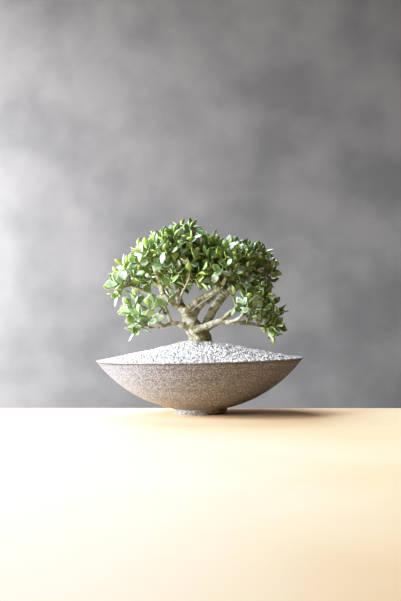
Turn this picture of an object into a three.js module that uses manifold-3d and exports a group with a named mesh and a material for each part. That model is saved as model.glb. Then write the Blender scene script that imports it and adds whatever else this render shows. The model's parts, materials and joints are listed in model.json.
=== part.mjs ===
// Jade bonsai: an old money tree with a forked trunk, planted in a shallow stoneware bowl under a mound of
// white gravel. Millimetres, +Z up, -Y is the front. The origin is the centre of the foot's underside.
import * as THREE from "three";
import { mergeVertices } from "three/addons/utils/BufferGeometryUtils.js";
import Module from "manifold-3d";

const wasm = await Module();
wasm.setup();

// ---- Driving dimensions -------------------------------------------------------------------------

const GAP = 0.35; // air between pieces that touch

const RIM_RADIUS = 250;
const RIM_HEIGHT = 132;
const BOWL_SPHERE_RADIUS = 311; // outside of the bowl
const WALL = 8;
const LIP_BEVEL = 1.2;
const FOOT_TOP_RADIUS = 67;
const FOOT_TOP_HEIGHT = 13.6;
const FOOT_RADIUS = 60;
const FOOT_WALL = 13;
const DRAIN_RADIUS = 9;
const BOWL_FACETS = 40;
const SOIL_FACETS = 20;
const SEAT_RADIUS = 31; // of the flat ground inside, round the drain hole

// The height of the bowl's outside and of its inside at a distance from the axis.
const BOWL_CENTRE_HEIGHT = RIM_HEIGHT + Math.sqrt(BOWL_SPHERE_RADIUS ** 2 - RIM_RADIUS ** 2);
const outsideHeight = (r) => BOWL_CENTRE_HEIGHT - Math.sqrt(BOWL_SPHERE_RADIUS ** 2 - r ** 2);
const INSIDE_SPHERE = BOWL_SPHERE_RADIUS - WALL;
const insideHeight = (r) => BOWL_CENTRE_HEIGHT - Math.sqrt(INSIDE_SPHERE ** 2 - r ** 2);
const RIM_INSIDE = Math.sqrt(INSIDE_SPHERE ** 2 - (BOWL_CENTRE_HEIGHT - RIM_HEIGHT) ** 2);
const INSIDE = [RIM_INSIDE, 205, 165, 115, 60, SEAT_RADIUS].map((r) => [r, insideHeight(r)]);

// The same profile for what fills the bowl, a gap clear of its facets, and its radius at a height.
const ROOM = INSIDE.map(([r, z]) => [r * Math.cos(Math.PI / BOWL_FACETS) - GAP, z + GAP]);
function roomRadius(z) {
  const i = Math.max(1, ROOM.findIndex(([, height]) => height <= z));
  const [[r, top], [inner, bottom]] = [ROOM[i - 1], ROOM[i]];
  return inner + ((r - inner) * (z - bottom)) / (top - bottom);
}

const SCREEN_SIDE = 41; // the plastic screen over the drain hole
const SCREEN_THICKNESS = 1.2;
const SCREEN_HOLES = 3; // a side
const SCREEN_HOLE_SIDE = 7;
const SCREEN_PITCH = 11.8;
const SCREEN_HEIGHT = INSIDE.at(-1)[1] + GAP;

const MOUND_EDGE_HEIGHT = 130.5;
const MOUND_RISE = 49;
const MOUND_POWER = 1.1;
const MOUND_RADIUS = roomRadius(MOUND_EDGE_HEIGHT);
const GRAVEL_DEPTH = 14;
const STONE_PITCH = 18; // one stone of the relief to the next
const STONE_RELIEF = 2.6;
const GRAVEL_FLOOR_RADII = [170, 110, 60]; // where the slope between gravel and soil changes

const TRUNK_X = 2;
const TRUNK_BASE_RADIUS = 28.5;
const TRUNK_BASE_HEIGHT = 112; // the sawn bottom of the trunk, down in the soil
const TRUNK_FACETS = 16;
const TRUNK_HOLE_RADIUS = TRUNK_BASE_RADIUS + 0.9;
const WOOD_TIP_RADIUS = 2;

const SPRAY_SPACING = 47; // from the heart of one spray to the next
const END_SPACING = 40; // the same, at the ends of boughs
const HEART_TO_BOUGH = 22;
const SPRAY_SET_BACK = 19; // from the end of the wood to the heart of its spray
const STEM_RADIUS = 2.3; // the green stem of a spray
const FORK_HEIGHT = 8; // of that stem
const ARMS = 3;
const ARM_REACH = 17;
const ARM_RISE = 17;
const NODE_HALF_SIDE = 1.8; // of the square arms where a pair of leaves stands
const NODE_HEIGHT = 3.4;
const PAIRS = [
  { at: 0.58, turn: 90, tilt: 62, size: 1.06 },
  { at: 0.94, turn: 0, tilt: 38, size: 0.92 },
];

const LEAF_LENGTH = 27;
const LEAF_WIDTH_SHARE = 0.62;
const LEAF_THICKNESS = 3.2;
const LEAF_CLEARANCE = 6.6; // between the samples of two leaves
const ARM_CLEARANCE = 5; // the same, on one arm
const WOOD_CLEARANCE = 3.6;
const OWN_ARM_CLEARANCE = 3.4;
const TRIES = 9;
const ARM_ROOM = 5; // air round an arm
const ROLLS = 7; // turns of a spray that are tried

// ---- The tree, as it grew -----------------------------------------------------------------------

// The trunk and its boughs, each a run of points [x, y, z, radius] from its root to its end.
const TRUNK = [
  [TRUNK_X, 0, TRUNK_BASE_HEIGHT, TRUNK_BASE_RADIUS],
  [TRUNK_X, 0, 172, TRUNK_BASE_RADIUS],
  [0, 0, 186, 26.5],
  [-11, 0, 204, 22.5],
  [-21, 0, 222, 18.5],
  [-26, 1, 243, 16],
];
const BOUGHS = {
  left_long: [
    [-24, 0, 234, 12], [-38, -4, 252, 9.5], [-52, -8, 262, 8.5], [-70, -14, 273, 7.6],
    [-83, -18, 287, 6.6], [-89, -20, 303, 6], [-95, -24, 321, 5], [-102, -32, 340, 4.2],
    [-108, -40, 362, 3.4],
  ],
  left_upright: [
    [-27, 4, 240, 11], [-41, 12, 259, 9], [-47, 16, 277, 8], [-50, 18, 300, 7.4],
    [-52, 24, 324, 6.4], [-50, 32, 352, 5], [-44, 38, 384, 3.8],
  ],
  arch_front: [
    [-20, -4, 240, 11], [-17, -12, 258, 9.2], [0, -18, 271, 8.6], [19, -22, 284, 7.8],
    [38, -26, 293, 7], [54, -36, 305, 5.6], [66, -52, 326, 4.2],
  ],
  arch_back: [
    [-14, 6, 236, 10], [0, 24, 258, 8], [18, 38, 273, 7], [33, 52, 288, 6.2],
    [44, 68, 310, 5.2], [50, 84, 338, 4],
  ],
  right_tall: [
    [13, 6, 180, 19], [14, 10, 202, 14.5], [20, 14, 224, 11.5], [32, 18, 246, 10.8],
    [45, 20, 264, 9.8], [59, 22, 280, 8.2], [76, 24, 296, 6.8], [96, 22, 318, 5.4],
    [116, 16, 340, 4],
  ],
  right_low: [
    [-6, -10, 196, 11], [2, -22, 205, 9], [26, -32, 213, 8], [51, -38, 221, 7],
    [73, -40, 219, 5.8], [102, -38, 216, 4.8], [130, -30, 213, 4], [152, -22, 207, 3],
  ],
  right_low_back: [
    [100, -38, 216, 4], [116, -22, 222, 3.4], [132, -4, 230, 3], [144, 14, 240, 2.6],
  ],
  right_low_front: [
    [73, -40, 219, 4.6], [86, -54, 223, 3.8], [97, -67, 230, 3.2], [104, -78, 240, 2.8],
  ],
  right_shoot: [
    [48, -38, 220, 5], [60, -44, 231, 4.2], [72, -50, 241, 3.8], [88, -54, 252, 3.2],
  ],
  left_low: [
    [-16, -6, 202, 10], [-34, -12, 210, 7.4], [-49, -16, 217, 6.2], [-66, -22, 218, 5],
    [-83, -28, 212, 4.2], [-100, -30, 207, 3.4], [-118, -30, 210, 2.8],
  ],
  left_shoot: [
    [-66, -22, 217, 4], [-70, -22, 228, 3.2], [-74, -21, 238, 2.8],
  ],
  left_low_back: [
    [-83, -28, 212, 3.6], [-98, -20, 222, 3.2], [-116, -12, 234, 3], [-134, -6, 243, 2.6],
  ],
  left_low_front: [
    [-84, -28, 212, 3.4], [-96, -42, 219, 3], [-106, -58, 228, 2.6],
  ],
  left_arm: [
    [-80, -17, 283, 5.4], [-94, -16, 281, 4.9], [-110, -14, 285, 4.4], [-127, -12, 294, 4],
    [-143, -8, 304, 3.4], [-162, -6, 312, 2.8],
  ],
  back_left: [
    [-24, 8, 232, 10], [-36, 30, 250, 7.6], [-56, 52, 268, 6.2], [-76, 70, 292, 5],
    [-88, 84, 318, 3.8],
  ],
  back_right: [
    [16, 12, 206, 12], [34, 34, 222, 8.6], [56, 54, 236, 7], [84, 70, 248, 5.6],
    [110, 80, 264, 4.2],
  ],
  front_twig: [
    [-50, -8, 261, 5.5], [-44, -30, 280, 4.6], [-32, -54, 302, 3.8], [-22, -76, 322, 3.2],
  ],
};
const BARE_SHARE = 0.5; // the first part of each bough, where no twig starts

// The crown: lobes of leaves, each an ellipsoid [x, y, z, half width, half depth, half height].
const LOBES = [
  [-50, 4, 375, 88, 118, 84],
  [-26, 0, 440, 32, 40, 34],
  [75, 4, 360, 90, 124, 72],
  [150, 6, 360, 50, 92, 54],
  [140, 10, 285, 54, 92, 52],
  [172, 4, 224, 44, 60, 46],
  [-178, -6, 318, 52, 70, 46],
  [-118, 0, 355, 58, 96, 56],
  [-146, -30, 232, 50, 56, 40],
  [-94, -26, 256, 22, 26, 24],
];
// Hearts of sprays that the crown's outline needs: its tips, and the lowest of its underside.
const TIPS = [
  [-26, 2, 441], [-82, -12, 414], [-128, 2, 384], [-168, 4, 350], [-192, -14, 306], [22, -26, 404],
  [88, 10, 394], [142, -2, 380], [168, 10, 330], [146, -20, 286], [181, -8, 250], [4, -62, 326],
  [72, 52, 320],
];
const SHELL = { outer: 24, mid: 38, inner: 80 }; // how far under the crown's surface a spray's heart lies
const CANDIDATES = 5000;

// ---- Small mathematics --------------------------------------------------------------------------

const add = (a, b, k = 1) => [a[0] + b[0] * k, a[1] + b[1] * k, a[2] + b[2] * k];
const dot = (a, b) => a[0] * b[0] + a[1] * b[1] + a[2] * b[2];
const cross = (a, b) => [a[1] * b[2] - a[2] * b[1], a[2] * b[0] - a[0] * b[2], a[0] * b[1] - a[1] * b[0]];
const scaled = (a, k) => [a[0] * k, a[1] * k, a[2] * k];
const length = (a) => Math.sqrt(dot(a, a));
const unit = (a) => scaled(a, 1 / length(a));
const between = (a, b) => length(add(b, a, -1));
const mix = (a, b, t) => a + (b - a) * t;
const UP = [0, 0, 1];
const DEGREE = Math.PI / 180;

// The same number from 0 to 1 for the same three keys, and different ones for different keys.
function chance(a, b, c) {
  const x = Math.sin(a * 127.1 + b * 311.7 + c * 74.7) * 43758.5453;
  return x - Math.floor(x);
}
const jitter = (a, b, c, size) => (chance(a, b, c) * 2 - 1) * size;

// The n-th number of the Halton sequence, which fills 0 to 1 evenly.
function halton(n, base) {
  let result = 0;
  for (let f = 1 / base, i = n; i > 0; i = Math.floor(i / base), f /= base) result += f * (i % base);
  return result;
}

// Two unit vectors square to a direction and to each other.
function squareTo(direction) {
  const side = unit(Math.abs(direction[2]) < 0.9 ? cross(UP, direction) : cross([0, 1, 0], direction));
  return [side, cross(direction, side)];
}

// A point of a cubic Bezier curve.
function bezier(p, t) {
  const s = 1 - t;
  const weights = [s * s * s, 3 * s * s * t, 3 * s * t * t, t * t * t];
  return weights.reduce((sum, w, i) => add(sum, p[i], w), [0, 0, 0]);
}

// A run of points made finer by a Catmull-Rom curve, with its radius as the fourth number.
function smoothRun(points, steps) {
  const at = (i) => points[Math.max(0, Math.min(points.length - 1, i))];
  const run = [];
  for (let i = 0; i < points.length - 1; i++)
    for (let k = 0; k < steps; k++) {
      const t = k / steps;
      run.push(
        [0, 1, 2, 3].map((axis) => {
          const [a, b, c, d] = [at(i - 1)[axis], at(i)[axis], at(i + 1)[axis], at(i + 2)[axis]];
          const bend = (2 * a - 5 * b + 4 * c - d) * t ** 2 + (3 * b - a - 3 * c + d) * t ** 3;
          return b + 0.5 * ((c - a) * t + bend);
        }),
      );
    }
  run.push(points[points.length - 1]);
  return run;
}

// ---- The crown's rule: where sprays stand, and the twig that carries each -----------------------

// How far a point lies under the crown's surface: below zero outside.
function depthInCrown(p) {
  return Math.max(
    ...LOBES.map((lobe) => {
      const q = [0, 1, 2].map((i) => (p[i] - lobe[i]) / lobe[i + 3]);
      return (1 - length(q)) * Math.min(lobe[3], lobe[4], lobe[5]);
    }),
  );
}

// The way out of the crown at a point.
function outward(p) {
  const step = 6;
  const slope = [0, 1, 2].map((i) => {
    const e = [0, 0, 0];
    e[i] = step;
    return depthInCrown(add(p, e, -1)) - depthInCrown(add(p, e));
  });
  return length(slope) > 1e-6 ? unit(slope) : UP;
}

// The hearts of the sprays: first the crown's outer skin, then what lies behind it.
function sprayHearts() {
  const low = [0, 1, 2].map((i) => Math.min(...LOBES.map((lobe) => lobe[i] - lobe[i + 3])));
  const high = [0, 1, 2].map((i) => Math.max(...LOBES.map((lobe) => lobe[i] + lobe[i + 3])));
  const hearts = [...TIPS];
  for (const run of Object.values(BOUGHS)) {
    const [before, end] = run.slice(-2).map((p) => p.slice(0, 3));
    const heart = add(end, unit(add(end, before, -1)), SPRAY_SET_BACK + 8);
    if (hearts.every((h) => between(h, heart) > END_SPACING)) hearts.push(heart);
  }
  const clearOfWood = (p) =>
    Object.values(BOUGHS).every((run) =>
      run.slice(1).every((q, i) => distanceToSegment(p, run[i], q) > q[3] + HEART_TO_BOUGH),
    );
  for (const [from, to] of [[SHELL.outer, SHELL.mid], [SHELL.mid, SHELL.inner]])
    for (let n = 1; n <= CANDIDATES; n++) {
      const p = [2, 3, 5].map((base, i) => mix(low[i], high[i], halton(n, base)));
      const depth = depthInCrown(p);
      if (depth < from || depth >= to || hearts.some((h) => between(h, p) < SPRAY_SPACING)) continue;
      if (clearOfWood(p)) hearts.push(p);
    }
  return hearts;
}

// The wood as runs of points, and a twig for each spray from the wood that serves it best.
function growTwigs() {
  const boughs = Object.values(BOUGHS).map((points) => ({ run: points }));
  const joints = [];
  const offer = (run, owner, from, to) => {
    for (let i = from; i < to; i++) {
      const direction = unit(add(run[i], run[i - 1], -1));
      joints.push({ point: run[i].slice(0, 3), direction, radius: run[i][3], owner });
    }
  };
  boughs.forEach(({ run }) => offer(run, null, Math.ceil(run.length * BARE_SHARE), run.length));
  const nearest = (heart) => Math.min(...joints.map((j) => between(j.point, heart)));
  const hearts = sprayHearts()
    .map((heart, key) => ({ heart, key, reach: nearest(heart) }))
    .sort((a, b) => a.reach - b.reach);
  const twigs = [];
  for (const { heart, key } of hearts) {
    const cost = (j) => {
      const way = add(heart, j.point, -1);
      const forward = dot(unit(way), j.direction);
      return length(way) * (1.3 - 0.5 * forward) + 0.4 * Math.max(0, j.point[2] - heart[2]);
    };
    const joint = joints.reduce((best, j) => (cost(j) < cost(best) ? j : best));
    const straight = unit(add(heart, joint.point, -1));
    const end = unit(add(add(straight, outward(heart), 0.5), UP, 0.3));
    const base = add(heart, end, -SPRAY_SET_BACK);
    const span = between(joint.point, base);
    const leave = unit(add(straight, joint.direction, 0.7));
    const curve = [joint.point, add(joint.point, leave, span * 0.35), add(base, end, -span * 0.3), base];
    const steps = Math.max(1, Math.min(3, Math.round(span / 26)));
    const run = Array.from({ length: steps + 1 }, (_, i) => [...bezier(curve, i / steps), 0]);
    const twig = { run, base, end, key, parent: joint.owner, load: 1, mother: joint.radius };
    for (let t = twig.parent; t; t = t.parent) t.load += 1;
    twigs.push(twig);
    offer(run, twig, 1, steps);
  }
  for (const twig of twigs) {
    const wanted = WOOD_TIP_RADIUS * Math.sqrt(twig.load) + 0.3;
    const root = Math.min(wanted, Math.max(twig.mother, WOOD_TIP_RADIUS) + 0.8);
    twig.run.forEach((p, i) => {
      p[3] = mix(root, WOOD_TIP_RADIUS, i / (twig.run.length - 1));
    });
  }
  return { boughs, twigs };
}

// ---- The sprays' rule: a stem that forks, with opposite leaves ----------------------------------

// The arms of a spray: a cubic curve each, from the fork, turned about its stem by roll.
function sprayArms({ base, end, key }, roll) {
  const [u, v] = squareTo(end);
  const fork = add(base, end, FORK_HEIGHT);
  return Array.from({ length: ARMS }, (_, k) => {
    const angle = (roll + (360 / ARMS) * k + jitter(key, k, 2, 14)) * DEGREE;
    const radial = add(scaled(u, Math.cos(angle)), v, Math.sin(angle));
    const reach = ARM_REACH + jitter(key, k, 3, 2.5);
    const rise = ARM_RISE + jitter(key, k, 4, 4);
    const tip = add(add(add(fork, end, rise), radial, reach), UP, 2);
    const curve = [fork, add(add(fork, end, 4), radial, 5), add(add(tip, end, -9), radial, -3), tip];
    return { curve, radial, angle, span: between(fork, tip) * 1.05, leaves: PAIRS.map(() => []) };
  });
}

// The frame of an arm at a share of its length: its place, the way ahead, out from the spray and across.
function armFrame(arm, share) {
  const place = bezier(arm.curve, share);
  const ahead = unit(add(bezier(arm.curve, share + 0.03), bezier(arm.curve, share - 0.03), -1));
  const out = unit(add(arm.radial, ahead, -dot(arm.radial, ahead)));
  return { place, ahead, out, across: cross(ahead, out) };
}

// Where a leaf is tested against its neighbours, as leafPoint's t and w.
const SAMPLES = [
  [0.3, 0], [0.52, 0], [0.76, 0], [0.96, 0], [0.34, 0.95], [0.34, -0.95],
  [0.52, 0.75], [0.52, -0.75], [0.76, 0.8], [0.76, -0.8], [0.92, 0.5], [0.92, -0.5],
];

// A point of a leaf: t from its root to its tip, w across in half widths, h above its mid surface.
function leafPoint(leaf, t, w, h) {
  const bend = leaf.bend * t * t * leaf.length;
  const cup = 0.1 * w * w * leaf.length * LEAF_WIDTH_SHARE * Math.sin(Math.PI * Math.min(1, t + 0.1));
  const half = leafHalfWidth(t) * leaf.length * LEAF_WIDTH_SHARE * 0.5;
  const inPlane = add(add(leaf.root, leaf.along, t * leaf.length), leaf.side, w * half);
  return add(inPlane, leaf.face, h + bend + cup);
}

// The outline of a jade leaf, as a share of its greatest half width.
function leafHalfWidth(t) {
  return 0.22 * (1 - t) ** 2 + Math.sin(Math.PI * t ** 1.35) ** 0.8 * (t < 1 ? 1 : 0);
}

function distanceToSegment(p, a, b) {
  const ab = add(b, a, -1);
  const t = Math.max(0, Math.min(1, dot(add(p, a, -1), ab) / dot(ab, ab)));
  return between(p, add(a, ab, t));
}

// Leaves for every arm of every spray, each turned, shortened or left out where it would touch another.
function growLeaves(boughs, twigs) {
  const wood = [];
  for (const { run } of [...boughs, ...twigs, { run: TRUNK }])
    for (let i = 1; i < run.length; i++)
      wood.push({ a: run[i - 1], b: run[i], r: Math.max(run[i - 1][3], run[i][3]) });
  for (const twig of twigs) {
    const along = ({ curve }) => [0.35, 0.55, 0.75, 1].map((t) => bezier(curve, t));
    const room = (arms) =>
      Math.min(...arms.flatMap(along).flatMap((p) => wood.map(({ a, b, r }) => distanceToSegment(p, a, b) - r)));
    const roll = chance(twig.key, 1, 0) * 360;
    const choices = Array.from({ length: ROLLS }, (_, i) => sprayArms(twig, roll + i * 17));
    const roomiest = choices.reduce((a, b) => (room(b) > room(a) ? b : a));
    twig.arms = choices.find((arms) => room(arms) > ARM_ROOM) ?? roomiest;
    for (const arm of twig.arms)
      for (let i = 1; i <= 3; i++)
        wood.push({ a: bezier(arm.curve, (i - 1) / 3), b: bezier(arm.curve, i / 3), r: STEM_RADIUS, arm });
  }
  const placed = [];
  const clear = (leaf) => {
    const points = SAMPLES.map(([t, w]) => leafPoint(leaf, t, w, 0));
    const middle = points[1];
    const reach = leaf.length * 1.2 + 12;
    for (const other of placed) {
      if (between(other.middle, middle) > reach) continue;
      const least = other.arm === leaf.arm ? ARM_CLEARANCE : LEAF_CLEARANCE;
      for (const p of points) for (const q of other.points) if (between(p, q) < least) return null;
    }
    for (const { a, b, r, arm } of wood) {
      if (distanceToSegment(middle, a, b) > reach) continue;
      const least = r + (arm === leaf.arm ? OWN_ARM_CLEARANCE : WOOD_CLEARANCE);
      for (const p of points) if (distanceToSegment(p, a, b) < least) return null;
    }
    return { ...leaf, points, middle };
  };
  PAIRS.forEach((pair, row) => {
    for (const twig of twigs)
      twig.arms.forEach((arm, k) => {
        for (const half of [0, 1])
          for (let attempt = 0; attempt < TRIES && !arm.leaves[row][half]; attempt++) {
            const leaf = clear(wishedLeaf(arm, twig.key * 7 + k, pair, row, half, attempt));
            if (!leaf) continue;
            placed.push(leaf);
            arm.leaves[row][half] = leaf;
          }
      });
  });
}

// The place and turn that a leaf would have at an attempt: later ones turn further away and are shorter.
function wishedLeaf(arm, key, pair, row, half, attempt) {
  const draw = (channel, size) => jitter(key, row * 2 + half + attempt * 10, channel, size);
  const { place, ahead, out, across } = armFrame(arm, pair.at);
  const root = add(place, row ? out : across, (half ? -1 : 1) * NODE_HALF_SIDE);
  const turn = (pair.turn + half * 180 + draw(1, 12 + attempt * 5)) * DEGREE;
  const tilt = (pair.tilt + draw(2, 9 + attempt * 3)) * DEGREE;
  const radial = add(scaled(out, Math.cos(turn)), across, Math.sin(turn));
  const along = unit(add(add(scaled(ahead, Math.cos(tilt)), radial, Math.sin(tilt)), UP, 0.12));
  const flatSide = unit(cross(along, radial));
  const roll = draw(3, 16) * DEGREE;
  const rolled = add(scaled(flatSide, Math.cos(roll)), cross(flatSide, along), Math.sin(roll));
  const toApex = dot(cross(rolled, along), ahead) < 0 ? -1 : 1;
  const side = scaled(rolled, toApex);
  return {
    root,
    along,
    side,
    face: cross(side, along),
    length: LEAF_LENGTH * pair.size * (1 + draw(4, 0.13)) * (1 - attempt * 0.035),
    bend: 0.1 + draw(5, 0.08),
    arm,
  };
}

// ---- Solids -------------------------------------------------------------------------------------

// A closed geometry as a solid that can be cut and joined.
function solidOf(geometry) {
  const bare = geometry.clone();
  bare.deleteAttribute("normal");
  bare.deleteAttribute("uv");
  const merged = mergeVertices(bare, 1e-4);
  return new wasm.Manifold(
    new wasm.Mesh({
      numProp: 3,
      vertProperties: new Float32Array(merged.attributes.position.array),
      triVerts: new Uint32Array(merged.index.array),
    }),
  );
}

// A solid as a geometry, with only its largest body, so that no loose scrap stays.
function geometryOf(solid) {
  const body = solid.decompose().reduce((a, b) => (b.volume() > a.volume() ? b : a));
  const mesh = body.getMesh();
  const positions = new Float32Array(mesh.numVert * 3);
  for (let i = 0; i < mesh.numVert; i++)
    positions.set(mesh.vertProperties.subarray(i * mesh.numProp, i * mesh.numProp + 3), i * 3);
  const geometry = new THREE.BufferGeometry();
  geometry.setAttribute("position", new THREE.BufferAttribute(positions, 3));
  geometry.setIndex(new THREE.BufferAttribute(mesh.triVerts, 1));
  geometry.computeVertexNormals();
  return geometry;
}

function geometryFrom(vertices, triangles) {
  const geometry = new THREE.BufferGeometry();
  geometry.setAttribute("position", new THREE.Float32BufferAttribute(vertices.flat(), 3));
  geometry.setIndex(triangles.flat());
  return geometry;
}

// A tapered tube with flat ends along a run of [x, y, z, radius]. shape(angle, index) varies its radius.
// Its last end is square to the direction finish, or else to its last length.
function tube(run, sides, shape = () => 1, finish = null) {
  const vertices = [];
  const triangles = [];
  let direction = unit(add(run[1], run[0], -1));
  let side = Math.abs(direction[2]) > 0.9 ? [1, 0, 0] : unit(cross(UP, direction));
  run.forEach((p, i) => {
    const before = run[Math.max(0, i - 1)];
    const after = run[Math.min(run.length - 1, i + 1)];
    direction = finish && i === run.length - 1 ? finish : unit(add(after, before, -1));
    side = unit(add(side, direction, -dot(side, direction)));
    const up = cross(direction, side);
    for (let k = 0; k < sides; k++) {
      const angle = (k / sides) * 2 * Math.PI;
      const r = p[3] * shape(angle, i);
      vertices.push(add(add(p.slice(0, 3), side, r * Math.cos(angle)), up, r * Math.sin(angle)));
    }
  });
  for (let i = 0; i < run.length - 1; i++)
    for (let k = 0; k < sides; k++) {
      const [a, b] = [i * sides + k, i * sides + ((k + 1) % sides)];
      triangles.push([a, b, b + sides], [a, b + sides, a + sides]);
    }
  const last = (run.length - 1) * sides;
  for (let k = 1; k < sides - 1; k++) {
    triangles.push([0, k + 1, k]);
    triangles.push([last, last + k, last + k + 1]);
  }
  return geometryFrom(vertices, triangles);
}

// A turned shape: its profile runs from radius and height pairs, closed on itself or from axis to axis.
function turned(profile, facets) {
  const points = profile.map(([r, z]) => new THREE.Vector2(r, z));
  return new THREE.LatheGeometry(points, facets).rotateX(Math.PI / 2);
}

// The height of the gravel at a distance from the axis, and of the soil under it.
const mound = (r) => MOUND_EDGE_HEIGHT + MOUND_RISE * Math.max(0, 1 - r / MOUND_RADIUS) ** MOUND_POWER;
const gravelFloor = (r) => mound(r) - GRAVEL_DEPTH;
const GRAVEL_FLOOR_EDGE = roomRadius(MOUND_EDGE_HEIGHT - GRAVEL_DEPTH);

// The bowl and its foot, one fired piece with a drain hole.
function potGeometry() {
  const footInside = FOOT_RADIUS - FOOT_WALL;
  const profile = [
    [DRAIN_RADIUS, outsideHeight(DRAIN_RADIUS)],
    [footInside - 3, outsideHeight(footInside - 3)],
    [footInside, 0],
    [FOOT_RADIUS, 0],
    [FOOT_TOP_RADIUS, FOOT_TOP_HEIGHT],
    ...[90, 125, 160, 195, 225].map((r) => [r, outsideHeight(r)]),
    [RIM_RADIUS, RIM_HEIGHT - LIP_BEVEL],
    [RIM_RADIUS - LIP_BEVEL, RIM_HEIGHT],
    ...INSIDE,
    [DRAIN_RADIUS, INSIDE.at(-1)[1]],
  ];
  return turned([...profile, profile[0]], BOWL_FACETS);
}

// The plastic screen that keeps soil from the drain hole: a square sheet with square holes.
function screenGeometry() {
  let sheet = solidOf(new THREE.BoxGeometry(SCREEN_SIDE, SCREEN_SIDE, SCREEN_THICKNESS));
  for (let i = 0; i < SCREEN_HOLES; i++)
    for (let j = 0; j < SCREEN_HOLES; j++) {
      const [x, y] = [i, j].map((n) => (n - (SCREEN_HOLES - 1) / 2) * SCREEN_PITCH);
      const hole = new THREE.BoxGeometry(SCREEN_HOLE_SIDE, SCREEN_HOLE_SIDE, SCREEN_THICKNESS + 1);
      sheet = sheet.subtract(solidOf(hole.translate(x, y, 0)));
    }
  return geometryOf(sheet).translate(0, 0, SCREEN_HEIGHT + SCREEN_THICKNESS / 2);
}

// The hole for the trunk, as a cutter with the trunk's own facets.
function trunkHole(bottom) {
  const ends = [bottom, RIM_HEIGHT + 90];
  return solidOf(tube(ends.map((z) => [TRUNK_X, 0, z, TRUNK_HOLE_RADIUS]), TRUNK_FACETS));
}

// The soil that fills the bowl under the gravel.
function soilGeometry() {
  const floor = SCREEN_HEIGHT + SCREEN_THICKNESS + GAP;
  const wall = ROOM.slice(1, -1).reverse();
  const top = [GRAVEL_FLOOR_EDGE, ...GRAVEL_FLOOR_RADII].map((r) => [r, gravelFloor(r)]);
  const profile = [[0, floor], [roomRadius(floor), floor], ...wall, ...top, [0, top.at(-1)[1]]];
  return geometryOf(solidOf(turned(profile, SOIL_FACETS)).subtract(trunkHole(TRUNK_BASE_HEIGHT - GAP)));
}

// The gravel: rings of stones, each a peak of the relief between hollows, over a flat underside.
function gravelGeometry() {
  const rings = [];
  const rows = Math.round(MOUND_RADIUS / STONE_PITCH);
  for (let row = 0; row <= rows; row++) {
    const r = (MOUND_RADIUS * row) / rows;
    const count = Math.max(1, Math.round((2 * Math.PI * r) / STONE_PITCH));
    rings.push(
      Array.from({ length: count }, (_, k) => {
        const angle = ((k + (row % 2) * 0.5) / count) * 2 * Math.PI;
        if (row === rows) return [r * Math.cos(angle), r * Math.sin(angle), MOUND_EDGE_HEIGHT];
        const radius = r + jitter(row, k, 5, STONE_PITCH * 0.22);
        const peak = ((k + row) % 2 ? 1 : -1) * (0.6 + 0.4 * chance(row, k, 6));
        return [radius * Math.cos(angle), radius * Math.sin(angle), mound(r) + STONE_RELIEF * (peak - 0.4)];
      }),
    );
  }
  // The side follows the bowl, and the underside follows the soil.
  for (const r of [GRAVEL_FLOOR_EDGE, ...GRAVEL_FLOOR_RADII])
    rings.push(
      Array.from({ length: SOIL_FACETS }, (_, k) => {
        const angle = (k / SOIL_FACETS) * 2 * Math.PI;
        return [r * Math.cos(angle), r * Math.sin(angle), gravelFloor(r) + GAP];
      }),
    );
  rings.push([[0, 0, gravelFloor(GRAVEL_FLOOR_RADII.at(-1)) + GAP]]);
  return geometryOf(solidOf(stitched(rings)).subtract(trunkHole(TRUNK_BASE_HEIGHT - 20)));
}

// A closed surface through rings of points, each joined to the next, from a single point to a single point.
function stitched(rings) {
  const vertices = rings.flat();
  const triangles = [];
  let start = 0;
  for (let i = 0; i < rings.length - 1; i++) {
    const [m, n] = [rings[i].length, rings[i + 1].length];
    const next = start + m;
    let [a, b] = [0, 0];
    const turnOf = (ring, k) => {
      const [x, y] = ring[k % ring.length];
      const turn = Math.atan2(y, x) / (2 * Math.PI);
      return (turn < -1e-9 ? turn + 1 : turn) + Math.floor(k / ring.length);
    };
    while (a < (m > 1 ? m : 0) || b < (n > 1 ? n : 0)) {
      const canA = m > 1 && a < m;
      const canB = n > 1 && b < n;
      const stepA = canA && (!canB || turnOf(rings[i], a + 1) <= turnOf(rings[i + 1], b + 1));
      if (stepA) {
        triangles.push([start + (a % m), next + (b % n), start + ((a + 1) % m)]);
        a += 1;
      } else {
        triangles.push([start + (a % m), next + (b % n), next + ((b + 1) % n)]);
        b += 1;
      }
    }
    start = next;
  }
  return geometryFrom(vertices, triangles);
}

// Trunk, boughs and twigs, grown as one piece of wood.
function woodGeometry(boughs, twigs) {
  const flutes = (angle, i) =>
    i < 3 ? 1 : 1 + 0.05 * Math.sin(5 * angle + 0.6) * Math.max(0, 1 - (i - 3) / 6);
  const trunkRun = smoothRun(TRUNK, 2);
  let wood = solidOf(tube(trunkRun, TRUNK_FACETS, flutes));
  for (const { run } of boughs) {
    const sides = run[0][3] > 8 ? 7 : 5;
    wood = wood.add(solidOf(tube(run, sides)));
  }
  for (const { run, end } of twigs) wood = wood.add(solidOf(tube(run, 3, () => 1.2, end)));
  return geometryOf(wood);
}

// The triangles of a side between two rings, from its corners [lower a, lower b, upper b, upper a].
const quad = ([a, b, c, d]) => [[a, b, c], [a, c, d]];

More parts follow.
